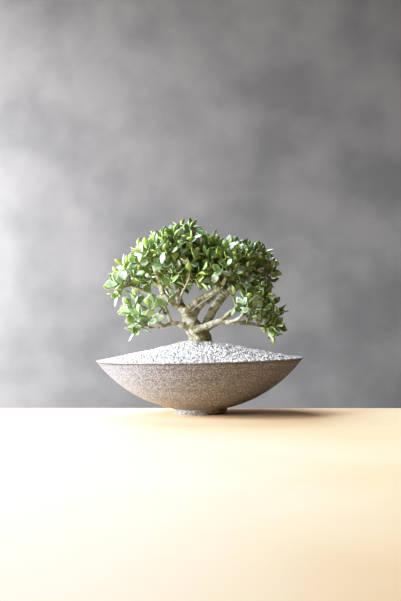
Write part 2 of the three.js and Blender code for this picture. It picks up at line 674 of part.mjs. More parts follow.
// One leaf, raised from a quad of its stem: nearly flat above and full below.
function raiseLeaf(body, leaf, [a, b, c, d]) {
  const rim = [[0.34, 0.96], [0.72, 1.05], [0.97, 1], [0.97, -1], [0.72, -1.05], [0.34, -0.96]];
  const r = rim.map(([t, w]) => body.vertices.push(leafPoint(leaf, t, w, 0)) - 1);
  const belly = body.vertices.push(leafPoint(leaf, 0.5, 0, -LEAF_THICKNESS * 0.7)) - 1;
  for (const strip of [[d, r[0], r[5], c], [r[0], r[1], r[4], r[5]], [r[1], r[2], r[3], r[4]]])
    body.triangles.push(...quad(strip));
  const under = [a, ...r, b];
  under.forEach((p, i) => body.triangles.push([under[(i + 1) % under.length], p, belly]));
  body.triangles.push([a, r[0], d], [b, c, r[5]]);
}

// One arm of a spray, raised from a quad of its stem, with a leaf on two opposite sides of each node.
function raiseArm(body, arm, root) {
  const spread = NODE_HEIGHT / 2 / arm.span;
  const square = (share) => {
    const { place, out, across } = armFrame(arm, share);
    return [[1, -1], [1, 1], [-1, 1], [-1, -1]].map(([x, y]) => {
      const corner = add(add(place, out, x * NODE_HALF_SIDE), across, y * NODE_HALF_SIDE);
      return body.vertices.push(corner) - 1;
    });
  };
  let ring = root;
  const climb = (next, leafAt) => {
    for (let k = 0; k < 4; k++) {
      const sides = [ring[k], ring[(k + 1) % 4], next[(k + 1) % 4], next[k]];
      const leaf = leafAt(k);
      if (leaf) raiseLeaf(body, leaf, sides);
      else body.triangles.push(...quad(sides));
    }
    ring = next;
  };
  PAIRS.forEach(({ at }, row) => {
    climb(square(at - spread), () => null);
    climb(square(at + spread), (k) => (k % 2 === row ? null : arm.leaves[row][k < 2 ? 0 : 1]));
  });
  body.triangles.push(...quad(ring));
}

// A spray: its green stem, three-sided, with an arm raised from each side of its head.
function sprayGeometry({ base, end, arms }) {
  const body = { vertices: [], triangles: [] };
  const [u, v] = squareTo(end);
  const rings = [GAP, FORK_HEIGHT - NODE_HEIGHT / 2, FORK_HEIGHT + NODE_HEIGHT / 2].map((height) =>
    arms.map(({ angle }, k) => {
      const before = k ? arms[k - 1].angle : arms.at(-1).angle - 2 * Math.PI;
      const corner = (angle + before) / 2;
      const across = add(scaled(u, Math.cos(corner)), v, Math.sin(corner));
      return body.vertices.push(add(add(base, end, height), across, STEM_RADIUS)) - 1;
    }),
  );
  const [foot, neck, head] = rings;
  arms.forEach((arm, k) => {
    const next = (k + 1) % ARMS;
    body.triangles.push(...quad([foot[k], foot[next], neck[next], neck[k]]));
    raiseArm(body, arm, [neck[k], neck[next], head[next], head[k]]);
  });
  body.triangles.push([foot[0], foot[2], foot[1]], head);
  return geometryFrom(body.vertices, body.triangles);
}

// ---- The assembly -------------------------------------------------------------------------------

const FINISHES = {
  stoneware: { color: 0x9c8672, roughness: 0.85 },
  plastic: { color: 0x2b2d2c, roughness: 0.6 },
  soil: { color: 0x3f3126, roughness: 1 },
  marble: { color: 0xf2f2ee, roughness: 0.75 },
  bark: { color: 0xb9ad8c, roughness: 0.8 },
  leaf: { color: 0x5f8a2c, roughness: 0.35 },
};

const tree = new THREE.Group();
tree.name = "jade_bonsai";

function place(name, geometry, finish) {
  const material = new THREE.MeshStandardMaterial({ ...FINISHES[finish], metalness: 0 });
  const mesh = new THREE.Mesh(geometry, material);
  mesh.name = name;
  tree.add(mesh);
}

const { boughs, twigs } = growTwigs();
growLeaves(boughs, twigs);
place("pot", potGeometry(), "stoneware");
place("drain_screen", screenGeometry(), "plastic");
place("soil", soilGeometry(), "soil");
place("gravel", gravelGeometry(), "marble");
place("trunk", woodGeometry(boughs, twigs), "bark");
twigs.forEach((twig, i) => place(`spray_${String(i + 1).padStart(2, "0")}`, sprayGeometry(twig), "leaf"));

export default tree;
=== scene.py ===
import json
import math
from functools import partial

import bmesh
import bpy
import numpy as np
from mathutils import Euler, Matrix, Vector, noise

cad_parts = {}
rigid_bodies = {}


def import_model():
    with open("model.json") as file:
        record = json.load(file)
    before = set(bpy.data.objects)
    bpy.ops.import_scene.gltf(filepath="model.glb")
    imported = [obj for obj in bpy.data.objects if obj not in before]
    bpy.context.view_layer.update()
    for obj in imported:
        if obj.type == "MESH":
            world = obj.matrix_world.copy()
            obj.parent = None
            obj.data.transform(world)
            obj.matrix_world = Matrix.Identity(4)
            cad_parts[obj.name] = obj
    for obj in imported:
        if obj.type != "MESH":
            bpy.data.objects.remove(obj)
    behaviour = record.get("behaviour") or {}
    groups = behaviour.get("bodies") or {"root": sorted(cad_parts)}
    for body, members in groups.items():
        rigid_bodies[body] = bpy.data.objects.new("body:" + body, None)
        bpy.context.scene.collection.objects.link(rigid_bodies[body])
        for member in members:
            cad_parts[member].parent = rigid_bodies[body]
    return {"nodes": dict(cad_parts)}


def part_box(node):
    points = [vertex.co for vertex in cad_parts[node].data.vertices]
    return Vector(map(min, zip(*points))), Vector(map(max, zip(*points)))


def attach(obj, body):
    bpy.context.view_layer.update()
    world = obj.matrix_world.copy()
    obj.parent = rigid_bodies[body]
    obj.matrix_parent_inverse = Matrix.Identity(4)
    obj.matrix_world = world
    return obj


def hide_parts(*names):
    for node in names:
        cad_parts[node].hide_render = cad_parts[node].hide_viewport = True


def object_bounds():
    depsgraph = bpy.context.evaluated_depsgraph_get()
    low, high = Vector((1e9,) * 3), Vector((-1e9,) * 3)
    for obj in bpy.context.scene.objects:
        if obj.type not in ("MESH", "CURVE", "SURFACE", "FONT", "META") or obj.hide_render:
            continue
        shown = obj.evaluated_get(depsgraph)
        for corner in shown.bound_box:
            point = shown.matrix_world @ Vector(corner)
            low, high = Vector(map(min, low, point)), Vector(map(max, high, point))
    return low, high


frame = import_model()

CAD_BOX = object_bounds()
MM = 0.001
UP = np.array([0.0, 0.0, 1.0])

# ---- Driving dimensions, as in the solids -----------------------------------------------------------

RIM_RADIUS = 250
RIM_HEIGHT = 132
BOWL_SPHERE_RADIUS = 311
WALL = 8
FOOT_TOP_RADIUS = 67
FOOT_TOP_HEIGHT = 13.6
FOOT_RADIUS = 60
FOOT_WALL = 13
DRAIN_RADIUS = 9
SEAT_RADIUS = 31

MOUND_EDGE_HEIGHT = 130.5
MOUND_RISE = 49
MOUND_POWER = 1.1
MOUND_RADIUS = 239.6
GRAVEL_DEPTH = 14

TRUNK_X = 2
TRUNK_RADIUS = 28.5
WOOD_TIP_RADIUS = 2
SPRAY_SPACING = 47
END_SPACING = 40
HEART_TO_BOUGH = 22
SPRAY_SET_BACK = 19
STEM_RADIUS = 2.3
FORK_HEIGHT = 8
ARM_REACH = 17
ARM_RISE = 17
NODE_HALF_SIDE = 1.8

LEAF_LENGTH = 27
LEAF_WIDTH_SHARE = 0.62
LEAF_THICKNESS = 3.2
LEAF_CLEARANCE = 6.6
ARM_CLEARANCE = 5
WOOD_CLEARANCE = 3.6
OWN_ARM_CLEARANCE = 3.4
TRIES = 9  # for a place for a leaf
ARM_ROOM = 5
ROLLS = 7

# Pairs of leaves on an arm, each with its share of the arm's length, its turn, its tilt and its size.
PAIRS = [(0.58, 90, 62, 1.06), (0.94, 0, 38, 0.92)]

TRUNK = [[TRUNK_X, 0, 112, 28.5], [TRUNK_X, 0, 172, 28.5], [0, 0, 186, 26.5], [-11, 0, 204, 22.5],
         [-21, 0, 222, 18.5], [-26, 1, 243, 16]]
BOUGHS = {
    "left_long": [[-24, 0, 234, 12], [-38, -4, 252, 9.5], [-52, -8, 262, 8.5], [-70, -14, 273, 7.6],
                  [-83, -18, 287, 6.6], [-89, -20, 303, 6], [-95, -24, 321, 5], [-102, -32, 340, 4.2],
                  [-108, -40, 362, 3.4]],
    "left_upright": [[-27, 4, 240, 11], [-41, 12, 259, 9], [-47, 16, 277, 8], [-50, 18, 300, 7.4],
                     [-52, 24, 324, 6.4], [-50, 32, 352, 5], [-44, 38, 384, 3.8]],
    "arch_front": [[-20, -4, 240, 11], [-17, -12, 258, 9.2], [0, -18, 271, 8.6], [19, -22, 284, 7.8],
                   [38, -26, 293, 7], [54, -36, 305, 5.6], [66, -52, 326, 4.2]],
    "arch_back": [[-14, 6, 236, 10], [0, 24, 258, 8], [18, 38, 273, 7], [33, 52, 288, 6.2],
                  [44, 68, 310, 5.2], [50, 84, 338, 4]],
    "right_tall": [[13, 6, 180, 19], [14, 10, 202, 14.5], [20, 14, 224, 11.5], [32, 18, 246, 10.8],
                   [45, 20, 264, 9.8], [59, 22, 280, 8.2], [76, 24, 296, 6.8], [96, 22, 318, 5.4],
                   [116, 16, 340, 4]],
    "right_low": [[-6, -10, 196, 11], [2, -22, 205, 9], [26, -32, 213, 8], [51, -38, 221, 7],
                  [73, -40, 219, 5.8], [102, -38, 216, 4.8], [130, -30, 213, 4], [152, -22, 207, 3]],
    "right_low_back": [[100, -38, 216, 4], [116, -22, 222, 3.4], [132, -4, 230, 3], [144, 14, 240, 2.6]],
    "right_low_front": [[73, -40, 219, 4.6], [86, -54, 223, 3.8], [97, -67, 230, 3.2],
                        [104, -78, 240, 2.8]],
    "right_shoot": [[48, -38, 220, 5], [60, -44, 231, 4.2], [72, -50, 241, 3.8], [88, -54, 252, 3.2]],
    "left_low": [[-16, -6, 202, 10], [-34, -12, 210, 7.4], [-49, -16, 217, 6.2], [-66, -22, 218, 5],
                 [-83, -28, 212, 4.2], [-100, -30, 207, 3.4], [-118, -30, 210, 2.8]],
    "left_shoot": [[-66, -22, 217, 4], [-70, -22, 228, 3.2], [-74, -21, 238, 2.8]],
    "left_low_back": [[-83, -28, 212, 3.6], [-98, -20, 222, 3.2], [-116, -12, 234, 3],
                      [-134, -6, 243, 2.6]],
    "left_low_front": [[-84, -28, 212, 3.4], [-96, -42, 219, 3], [-106, -58, 228, 2.6]],
    "left_arm": [[-80, -17, 283, 5.4], [-94, -16, 281, 4.9], [-110, -14, 285, 4.4], [-127, -12, 294, 4],
                 [-143, -8, 304, 3.4], [-162, -6, 312, 2.8]],
    "back_left": [[-24, 8, 232, 10], [-36, 30, 250, 7.6], [-56, 52, 268, 6.2], [-76, 70, 292, 5],
                  [-88, 84, 318, 3.8]],
    "back_right": [[16, 12, 206, 12], [34, 34, 222, 8.6], [56, 54, 236, 7], [84, 70, 248, 5.6],
                   [110, 80, 264, 4.2]],
    "front_twig": [[-50, -8, 261, 5.5], [-44, -30, 280, 4.6], [-32, -54, 302, 3.8], [-22, -76, 322, 3.2]],
}
BARE_SHARE = 0.5

# The crown's lobes, each an ellipsoid (x, y, z, half width, half depth, half height), and its tips.
LOBES = np.array([
    [-50, 4, 375, 88, 118, 84], [-26, 0, 440, 32, 40, 34], [75, 4, 360, 90, 124, 72],
    [150, 6, 360, 50, 92, 54], [140, 10, 285, 54, 92, 52], [172, 4, 224, 44, 60, 46],
    [-178, -6, 318, 52, 70, 46], [-118, 0, 355, 58, 96, 56], [-146, -30, 232, 50, 56, 40],
    [-94, -26, 256, 22, 26, 24]], float)
TIPS = [[-26, 2, 441], [-82, -12, 414], [-128, 2, 384], [-168, 4, 350], [-192, -14, 306], [22, -26, 404],
        [88, 10, 394], [142, -2, 380], [168, 10, 330], [146, -20, 286], [181, -8, 250], [4, -62, 326],
        [72, 52, 320]]
SHELLS = [(24, 38), (38, 80)]
CANDIDATES = 5000

# ---- Dimensions of what is finer than the solids ----------------------------------------------------

LIP_RADIUS = 1.6
BOWL_TURNS = 168  # facets round the finely turned bowl
MOUND_TURNS = 110  # facets round the gravel's body
WALL_GAP = 0.4  # between the gravel's body and the bowl
LUMP_SIZE = 28  # the gravel's body is uneven, with lumps of this size and height
LUMP_HEIGHT = 2.2
EDGE_DIP = 3.5
STONE_SINK = 1.6
STONE_SIZE = 9.0  # coarser than the real 5 mm, so that single stones show
STONE_SPACING = 5.5
MOST_STONES = 400000  # to a square metre
STONE_FORMS = 9
STONE_CORNERS = 12
FULL_TURN = 6.2832  # in radians

COLLAR_VOXEL = 2.2  # the voxels that melt the boughs into each other, and then the whole skin
BARK_VOXEL = 1.45
BATCH = 4000  # points of the bark that are looked at in one go

# Boughs whose skin differs a little from their solid: slimmer ones, a rounder root and a longer shoot.
RESHAPED = {
    "right_tall": [[9, 6, 180, 17], [12, 10, 202, 12.5], [21, 14, 224, 11], [33, 18, 246, 10.6],
                   [46, 20, 264, 9.8], [59, 22, 280, 8.2], [76, 24, 296, 6.8], [96, 22, 318, 5.4],
                   [116, 16, 340, 4]],
    "arch_front": [[-27, -4, 238, 9], [-28, -13, 249, 8.2], [-8, -19, 268, 7.2], [18, -23, 283.5, 6.6],
                   [40, -27, 291.5, 6], [54, -36, 305, 5.2], [66, -52, 326, 4.2]],
    "arch_back": [[-14, 6, 234, 9.5], [0, 22, 253, 7], [18, 36, 267, 6.2], [34, 50, 279, 5.8],
                  [46, 68, 304, 5], [50, 84, 338, 4]],
    "right_low": [[-12, -10, 195, 10], [-6, -22, 201, 9.6], [24, -32, 212, 8.2], [51, -38, 221, 7],
                  [73, -40, 219, 5.6], [102, -38, 216, 4.6], [130, -30, 213, 3.8], [152, -22, 207, 3]],
    "back_right": [[16, 12, 204, 10], [34, 34, 213, 7], [56, 54, 223, 5.8], [84, 70, 243, 5],
                   [110, 80, 264, 4.2]],
    "front_twig": [[-50, -8, 261, 4.2], [-44, -30, 280, 3.0], [-32, -54, 302, 2.6], [-22, -76, 322, 2.3]],
    "left_shoot": [[-66, -22, 217, 4.8], [-70, -22, 228, 4.4], [-74, -21, 240, 4], [-78, -20, 252, 3.4],
                   [-81, -18, 264, 2.8]],
}
RESHAPED_TRUNK = [[TRUNK_X, 0, 112, 28.5], [TRUNK_X, 0, 168, 28.5], [TRUNK_X + 0.5, 0, 179, 28.3],
                  [-3, 0, 191, 23.5], [-12, 0, 205, 21], [-21, 0, 222, 18.5], [-26, 1, 243, 16]]

FULLER = 1.05  # how much wider a leaf is than its solid
LONGER = 1.13  # and how much longer
LEAF_CUP = 0.19  # how far its sides rise, as a share of its width
SHORTER = 0.16  # how much of that is lost where the crown is dense
TOP_GAP = 2.5  # leaves end this far under the top of the solids
ADDED_TRIES = 5  # for a place for a leaf that the solids don't have
# Added pairs: young and low ones on the sprays, and those of the tufts and twigs.
YOUNG_PAIRS = [(1.0, 90, 20, 0.64), (1.02, 0, 7, 0.36)]
LOW_PAIRS = [(0.2, 0, 82, 0.9)]
TUFT_PAIRS = [(0.4, 0, 74, 1.0), (0.7, 90, 60, 1.02), (0.96, 0, 36, 0.84), (1.02, 90, 14, 0.45)]
TWIG_PAIRS = [(0.5, 0, 80, 0.98), (0.84, 90, 74, 1.0)]
CLOSE = 0.62  # share of the clearances that the added leaves keep, because they may touch
SHOOT_SPAN = 24  # twigs longer than this have leaves of their own
SKIN = -5
CLUMP_SIZE = 34  # the crown's surface has hollows about this far apart
CLUMP_DEPTH = 30
MOST_LEAVES = 4000
# Gaps in the crown that no leaf fills: x, z, half width and half height.
CLEARINGS = np.array([[-145, 271, 58, 10], [-62, 262, 26, 24], [-50, 294, 15, 20]], float)
HANGING_TUFTS = [[48, -60, 300], [24, -62, 314], [80, -56, 290], [-62, -34, 304], [6, -72, 316],
                 [100, -60, 248], [122, -52, 240], [142, -40, 228], [86, -68, 258], [116, -30, 252]]
# Where the left, middle and right part of the added tufts begin and end.
TUFT_PARTS = {"left": (-math.inf, -40), "middle": (-40, 70), "right": (70, math.inf)}
TUFT_CANDIDATES = (20001, 26001)
TUFT_TO_BOUGH = 15
TUFT_DEPTH = 17
TUFT_SPACING = 28
DENSE_FROM, DENSE_OVER = 20, 90  # the crown grows denser from here to the right, over this width
AIRY_OVER = 120  # and airier to the left
DENSER = 7  # how much closer the tufts stand where the crown is dense
SMALLER = 0.33  # and how much smaller the added leaves are there
AIRIER = 7  # how much further apart the tufts stand where it is airy
FILLED_LOBES = np.vstack([LOBES, [[110, -50, 243, 40, 40, 30]]])  # with the low front that the tufts fill

# ---- Small mathematics ------------------------------------------------------------------------------


def unit(v):
    return v / math.sqrt(v[0] * v[0] + v[1] * v[1] + v[2] * v[2])


def cross(a, b):
    return np.array([a[1] * b[2] - a[2] * b[1], a[2] * b[0] - a[0] * b[2], a[0] * b[1] - a[1] * b[0]])


def chance(a, b, c):
    """The same number from 0 to 1 for the same three keys, and different ones for different keys."""
    x = math.sin(a * 127.1 + b * 311.7 + c * 74.7) * 43758.5453
    return x - math.floor(x)


def jitter(a, b, c, size):
    return (chance(a, b, c) * 2 - 1) * size


def halton(n, base):
    """The n-th number of the Halton sequence, which fills 0 to 1 evenly."""
    result, f = 0.0, 1 / base
    while n > 0:
        result += f * (n % base)
        n //= base
        f /= base
    return result


def square_to(direction):
    """Two unit vectors square to a direction and to each other."""
    side = unit(cross(UP if abs(direction[2]) < 0.9 else [0, 1, 0], direction))
    return side, cross(direction, side)


def bezier(curve, t):
    s = 1 - t
    return s * s * s * curve[0] + 3 * s * s * t * curve[1] + 3 * s * t * t * curve[2] + t * t * t * curve[3]


def to_segments(points, a, b):
    """The distance from each point to each segment a to b."""
    ab = b - a
    t = np.clip(((points[:, None] - a) * ab).sum(2) / (ab * ab).sum(1), 0, 1)
    return np.linalg.norm(points[:, None] - a - t[..., None] * ab, axis=2)


# ---- The crown's rule: where sprays stand, and the twig that carries each ---------------------------


def depth_in_crown(points, lobes=LOBES):
    """How far each point lies under the crown's surface: below zero outside."""
    q = (points[:, None] - lobes[:, :3]) / lobes[:, 3:]
    return ((1 - np.linalg.norm(q, axis=2)) * lobes[:, 3:].min(1)).max(1)


def may_fill(points):
    """Whether an added leaf stays under the crown's skin and out of the gaps between its parts."""
    across = (points[:, None, ::2] - CLEARINGS[:, :2]) / CLEARINGS[:, 2:]
    hollow = max(0, noise.noise(Vector(points[1]) / CLUMP_SIZE))
    covered = depth_in_crown(points, FILLED_LOBES).min() > SKIN + CLUMP_DEPTH * hollow
    return covered and (across**2).sum(2).min() > 1


def dense_share(x):
    """How dense the crown is: 0 at its airy left and 1 at its right, where the twigs have been cut back."""
    return min(1, max(0, (x - DENSE_FROM) / DENSE_OVER))


def outward(point):
    """The way out of the crown at a point."""
    steps = np.eye(3) * 6
    slope = depth_in_crown(point - steps) - depth_in_crown(point + steps)
    return unit(slope) if np.linalg.norm(slope) > 1e-6 else UP


def bough_segments():
    runs = [np.array(run, float) for run in BOUGHS.values()]
    a, b = np.vstack([run[:-1] for run in runs]), np.vstack([run[1:] for run in runs])
    return a[:, :3], b[:, :3], b[:, 3]


def halton_points(first, last):
    low, high = (LOBES[:, :3] - LOBES[:, 3:]).min(0), (LOBES[:, :3] + LOBES[:, 3:]).max(0)
    shares = np.array([[halton(n, base) for base in (2, 3, 5)] for n in range(first, last)])
    return low + (high - low) * shares


def spray_hearts():
    """The hearts of the sprays: the crown's tips and skin, and then what lies behind it."""
    hearts = [np.array(tip, float) for tip in TIPS]
    for run in BOUGHS.values():
        before, end = (np.array(p[:3], float) for p in run[-2:])
        heart = end + unit(end - before) * (SPRAY_SET_BACK + 8)
        if all(np.linalg.norm(h - heart) > END_SPACING for h in hearts):
            hearts.append(heart)
    a, b, r = bough_segments()
    candidates = halton_points(1, CANDIDATES + 1)
    depths = depth_in_crown(candidates)
    clear = (to_segments(candidates, a, b) > r + HEART_TO_BOUGH).all(1)
    for least, most in SHELLS:
        for p in candidates[(depths >= least) & (depths < most) & clear]:
            if np.linalg.norm(np.array(hearts) - p, axis=1).min() >= SPRAY_SPACING:
                hearts.append(p)
    return hearts


def tuft_hearts(hearts):
    """The hearts of small tufts of leaves that stand between the sprays."""
    a, b, r = bough_segments()
    candidates = halton_points(*TUFT_CANDIDATES)
    clear = (to_segments(candidates, a, b) > r + TUFT_TO_BOUGH).all(1)
    clear &= depth_in_crown(candidates) >= TUFT_DEPTH
    tufts = [np.array(tuft, float) for tuft in HANGING_TUFTS]
    every = hearts + tufts
    for p in candidates[clear]:
        spacing = TUFT_SPACING - DENSER * dense_share(p[0]) + AIRIER * min(1, max(0, -p[0] / AIRY_OVER))
        if np.linalg.norm(np.array(every) - p, axis=1).min() >= spacing:
            every.append(p)
            tufts.append(p)
    return tufts


class Twig:
    """A thin branch from older wood to the foot of a spray."""

    def __init__(self, heart, key, joint):
        point, direction, self.mother, self.parent = joint
        straight = unit(heart - point)
        self.key, self.load = key, 1
        self.end = unit(straight + 0.5 * outward(heart) + 0.3 * UP)
        self.base = heart - self.end * SPRAY_SET_BACK
        self.span = np.linalg.norm(self.base - point)
        leave = unit(straight + 0.7 * direction)
        self.curve = [point, point + leave * self.span * 0.35, self.base - self.end * self.span * 0.3,
                      self.base]
        self.steps = max(1, min(3, math.floor(self.span / 26 + 0.5)))
        self.run = np.array([bezier(self.curve, i / self.steps) for i in range(self.steps + 1)])

    def set_girth(self):
        wanted = WOOD_TIP_RADIUS * math.sqrt(self.load) + 0.3
        root = min(wanted, max(self.mother, WOOD_TIP_RADIUS) + 0.8)
        self.girths = np.linspace(root, WOOD_TIP_RADIUS, self.steps + 1)

    def path(self, steps=8):
        """The twig's course as (x, y, z, radius), finer than its solid's."""
        shares = np.linspace(0, 1, steps + 1)
        points = np.array([bezier(self.curve, t) for t in shares])
        return np.column_stack([points, np.interp(shares, np.linspace(0, 1, self.steps + 1), self.girths)])


def grow_twigs():
    """The twigs that carry the sprays, then those of the tufts, each from the wood that serves it best."""
    joints = []

    def offer(run, girths, owner, first, last):
        for i in range(first, last):
            joints.append((run[i], unit(run[i] - run[i - 1]), girths[i], owner))

    for points in BOUGHS.values():
        run = np.array(points, float)
        offer(run[:, :3], run[:, 3], None, math.ceil(len(run) * BARE_SHARE), len(run))
    hearts = spray_hearts()
    groups = []
    for first_key, group in ((0, hearts), (1000, tuft_hearts(hearts))):
        places = np.array([joint[0] for joint in joints])
        reach = [np.linalg.norm(places - heart, axis=1).min() for heart in group]
        twigs = []
        for i in sorted(range(len(group)), key=lambda i: round(reach[i], 6)):
            heart = group[i]
            ways = heart - np.array([joint[0] for joint in joints])
            lengths = np.linalg.norm(ways, axis=1)
            forward = (ways * np.array([joint[1] for joint in joints])).sum(1) / lengths
            costs = lengths * (1.3 - 0.5 * forward) + 0.4 * np.maximum(0, -ways[:, 2])
            twig = Twig(heart, first_key + i, joints[int(costs.argmin())])
            parent = twig.parent
            while parent and not first_key:
                parent.load += 1
                parent = parent.parent
            twigs.append(twig)
            offer(twig.run, [0] * (twig.steps + 1), twig, 1, twig.steps)
        for twig in twigs:
            twig.set_girth()
        groups.append(twigs)
    return groups


# ---- The sprays' rule: a stem that forks, with opposite leaves --------------------------------------


class Arm:
    """A leafy shoot along a cubic curve, with leaves in opposite pairs."""

    count = 0

    def __init__(self, curve, radial, girth):
        self.curve, self.radial, self.girth = curve, radial, girth
        self.number = Arm.count
        self.leaves, self.frames = [], {}
        Arm.count += 1

    def frame_at(self, share):
        """Its place, the way ahead, out from the spray and across, at a share of its length."""
        if share not in self.frames:
            ahead = unit(bezier(self.curve, share + 0.03) - bezier(self.curve, share - 0.03))
            out = unit(self.radial - np.dot(self.radial, ahead) * ahead)
            self.frames[share] = bezier(self.curve, share), ahead, out, cross(ahead, out)
        return self.frames[share]

    def path(self, steps=9):
        shares = np.linspace(0, 1, steps + 1)
        points = [bezier(self.curve, t) for t in shares]
        return np.column_stack([points, np.linspace(self.girth, self.girth * 0.62, steps + 1)])


def spray_arms(twig, roll, arms=3, reach_share=1.0):
    u, v = square_to(twig.end)
    fork = twig.base + twig.end * FORK_HEIGHT
    made = []
    for k in range(arms):
        angle = math.radians(roll + 360 / arms * k + jitter(twig.key, k, 2, 14))
        radial = u * math.cos(angle) + v * math.sin(angle)
        reach = (ARM_REACH + jitter(twig.key, k, 3, 2.5)) * reach_share
        rise = (ARM_RISE + jitter(twig.key, k, 4, 4)) * reach_share
        tip = fork + twig.end * rise + radial * reach + UP * 2
        curve = [fork, fork + twig.end * 4 + radial * 5, tip - twig.end * 9 - radial * 3, tip]
        made.append((curve, radial))
    return made


def leaf_half_width(t):
    """The outline of a jade leaf, as a share of its greatest half width."""
    t = np.asarray(t, float)
    return 0.22 * (1 - t) ** 2 + np.where(t < 1, np.abs(np.sin(np.pi * t**1.35)) ** 0.8, 0)


SAMPLE_T = np.array([0.3, 0.52, 0.76, 0.96, 0.34, 0.34, 0.52, 0.52, 0.76, 0.76, 0.92, 0.92])
SAMPLE_W = np.array([0, 0, 0, 0, 0.95, -0.95, 0.75, -0.75, 0.8, -0.8, 0.5, -0.5])
SAMPLE_HALF = leaf_half_width(SAMPLE_T) * LEAF_WIDTH_SHARE / 2 * SAMPLE_W
SAMPLE_CUP = 0.1 * SAMPLE_W**2 * LEAF_WIDTH_SHARE * np.sin(np.pi * np.minimum(1, SAMPLE_T + 0.1))


class Leaf:
    """A leaf's place and turn at an attempt: later attempts turn further away and are shorter."""

    def __init__(self, arm, key, pair, row, half, attempt, added):
        def draw(channel, size):
            return jitter(key, row * 2 + half + attempt * 10, channel, size)

        at, pair_turn, pair_tilt, pair_size = pair
        place, ahead, out, across = arm.frame_at(at)
        self.root = place + (out if row else across) * (-1 if half else 1) * NODE_HALF_SIDE
        turn = math.radians(pair_turn + half * 180 + draw(1, 12 + attempt * 5))
        tilt = math.radians(pair_tilt + draw(2, 9 + attempt * 3))
        radial = out * math.cos(turn) + across * math.sin(turn)
        self.along = unit(ahead * math.cos(tilt) + radial * math.sin(tilt) + UP * 0.12)
        flat_side = unit(cross(self.along, radial))
        roll = math.radians(draw(3, 16))
        rolled = flat_side * math.cos(roll) + cross(flat_side, self.along) * math.sin(roll)
        self.side = rolled * (-1 if np.dot(cross(rolled, self.along), ahead) < 0 else 1)
        self.face = cross(self.side, self.along)
        self.length = LEAF_LENGTH * pair_size * (1 + draw(4, 0.13)) * (1 - attempt * 0.035)
        if added:
            self.length *= 1 - SMALLER * dense_share(self.root[0])
        self.bend = 0.1 + draw(5, 0.08)
        self.width = 1 + draw(6, 0.09)
        # A leaf's tone is a chance, darkened towards the crown's dense right: painted shade on the side away
        # from the window.
        self.tone = chance(key, row * 2 + half, 7) * (1 - 0.4 * dense_share(self.root[0]))
        self.arm = arm.number

    def stretch(self):
        """How much longer the leaf is than its solid: less where it would pass the top of the solids."""
        room = CAD_BOX[1][2] / MM - TOP_GAP - self.root[2]
        rise = max(1.0, self.samples()[:, 2].max() - self.root[2])
        return min(LONGER - SHORTER * dense_share(self.root[0]), room / rise)

    def samples(self):
        """Points of the leaf that are tested against its neighbours."""
        lift = (self.bend * SAMPLE_T**2 + SAMPLE_CUP) * self.length
        flat = self.root + np.outer(SAMPLE_T * self.length, self.along)
        return flat + np.outer(SAMPLE_HALF * self.length, self.side) + np.outer(lift, self.face)


class Crown:
    """All that has grown, so that each new leaf keeps clear of it."""

    def __init__(self, runs):
        self.wood = [(a, b, max(ra, rb), -1) for points, girths in runs
                     for a, b, ra, rb in zip(points[:-1], points[1:], girths[:-1], girths[1:])]
        self.count = 0
        self.points, self.owners = np.zeros((MOST_LEAVES, 12, 3)), np.zeros(MOST_LEAVES, int)
        self.settle()

    def settle(self):
        a, b, r, arm = zip(*self.wood)
        self.a, self.b, self.r, self.arm = np.array(a), np.array(b), np.array(r), np.array(arm)

    def add_arms(self, twig, count, reach_share):
        """The spray's arms at the first turn that has room for them, or else at the roomiest one."""
        roll = chance(twig.key, 1, 0) * 360
        choices = [spray_arms(twig, roll + i * 17, count, reach_share) for i in range(ROLLS)]
        rooms = []
        for arms in choices:
            points = np.array([bezier(curve, t) for curve, _ in arms for t in (0.35, 0.55, 0.75, 1)])
            rooms.append((to_segments(points, self.a, self.b) - self.r).min())
        roomy = [i for i, room in enumerate(rooms) if room > ARM_ROOM]
        chosen = choices[roomy[0] if roomy else int(np.argmax(rooms))]
        twig.arms = [Arm(curve, radial, STEM_RADIUS * 0.88) for curve, radial in chosen]
        for arm in twig.arms:
            points = [bezier(arm.curve, i / 3) for i in range(4)]
            self.wood += [(points[i], points[i + 1], STEM_RADIUS, arm.number) for i in range(3)]
        self.settle()

    def is_clear(self, leaf, points, share):
        reach = leaf.length * 1.2 + 12
        near = np.flatnonzero(((self.points[:self.count, 1] - points[1]) ** 2).sum(1) <= reach * reach)
        if len(near):
            least = share * np.where(self.owners[near] == leaf.arm, ARM_CLEARANCE, LEAF_CLEARANCE)
            gaps = ((self.points[near][:, :, None] - points) ** 2).sum(3).min((1, 2))
            if (gaps < least * least).any():
                return False
        near = np.flatnonzero(to_segments(points[1:2], self.a, self.b)[0] <= reach)
        own = self.arm[near] == leaf.arm
        least = self.r[near] + share * np.where(own, OWN_ARM_CLEARANCE, WOOD_CLEARANCE)
        return not len(near) or bool((to_segments(points, self.a[near], self.b[near]) >= least).all())

    def add_leaves(self, arms, pairs, first_row, added=False):
        """Opposite pairs on the arms, row by row. A leaf that finds no clear place is left out, and so is
        one that the solids don't have where it would leave the crown."""
        share, tries = (CLOSE, ADDED_TRIES) if added else (1.0, TRIES)
        for row, pair in enumerate(pairs, first_row):
            for arm, key in arms:
                for half in (0, 1):
                    for attempt in range(tries):
                        leaf = Leaf(arm, key, pair, row, half, attempt, added)
                        points = leaf.samples()
                        if self.is_clear(leaf, points, share) and (not added or may_fill(points)):
                            self.points[self.count], self.owners[self.count] = points, arm.number
                            self.count += 1
                            arm.leaves.append(leaf)
                            break


def keyed_arms(twigs):
    """The arms of some twigs, each with the key of its chances."""
    return [(arm, twig.key * 7 + k) for twig in twigs for k, arm in enumerate(twig.arms)]


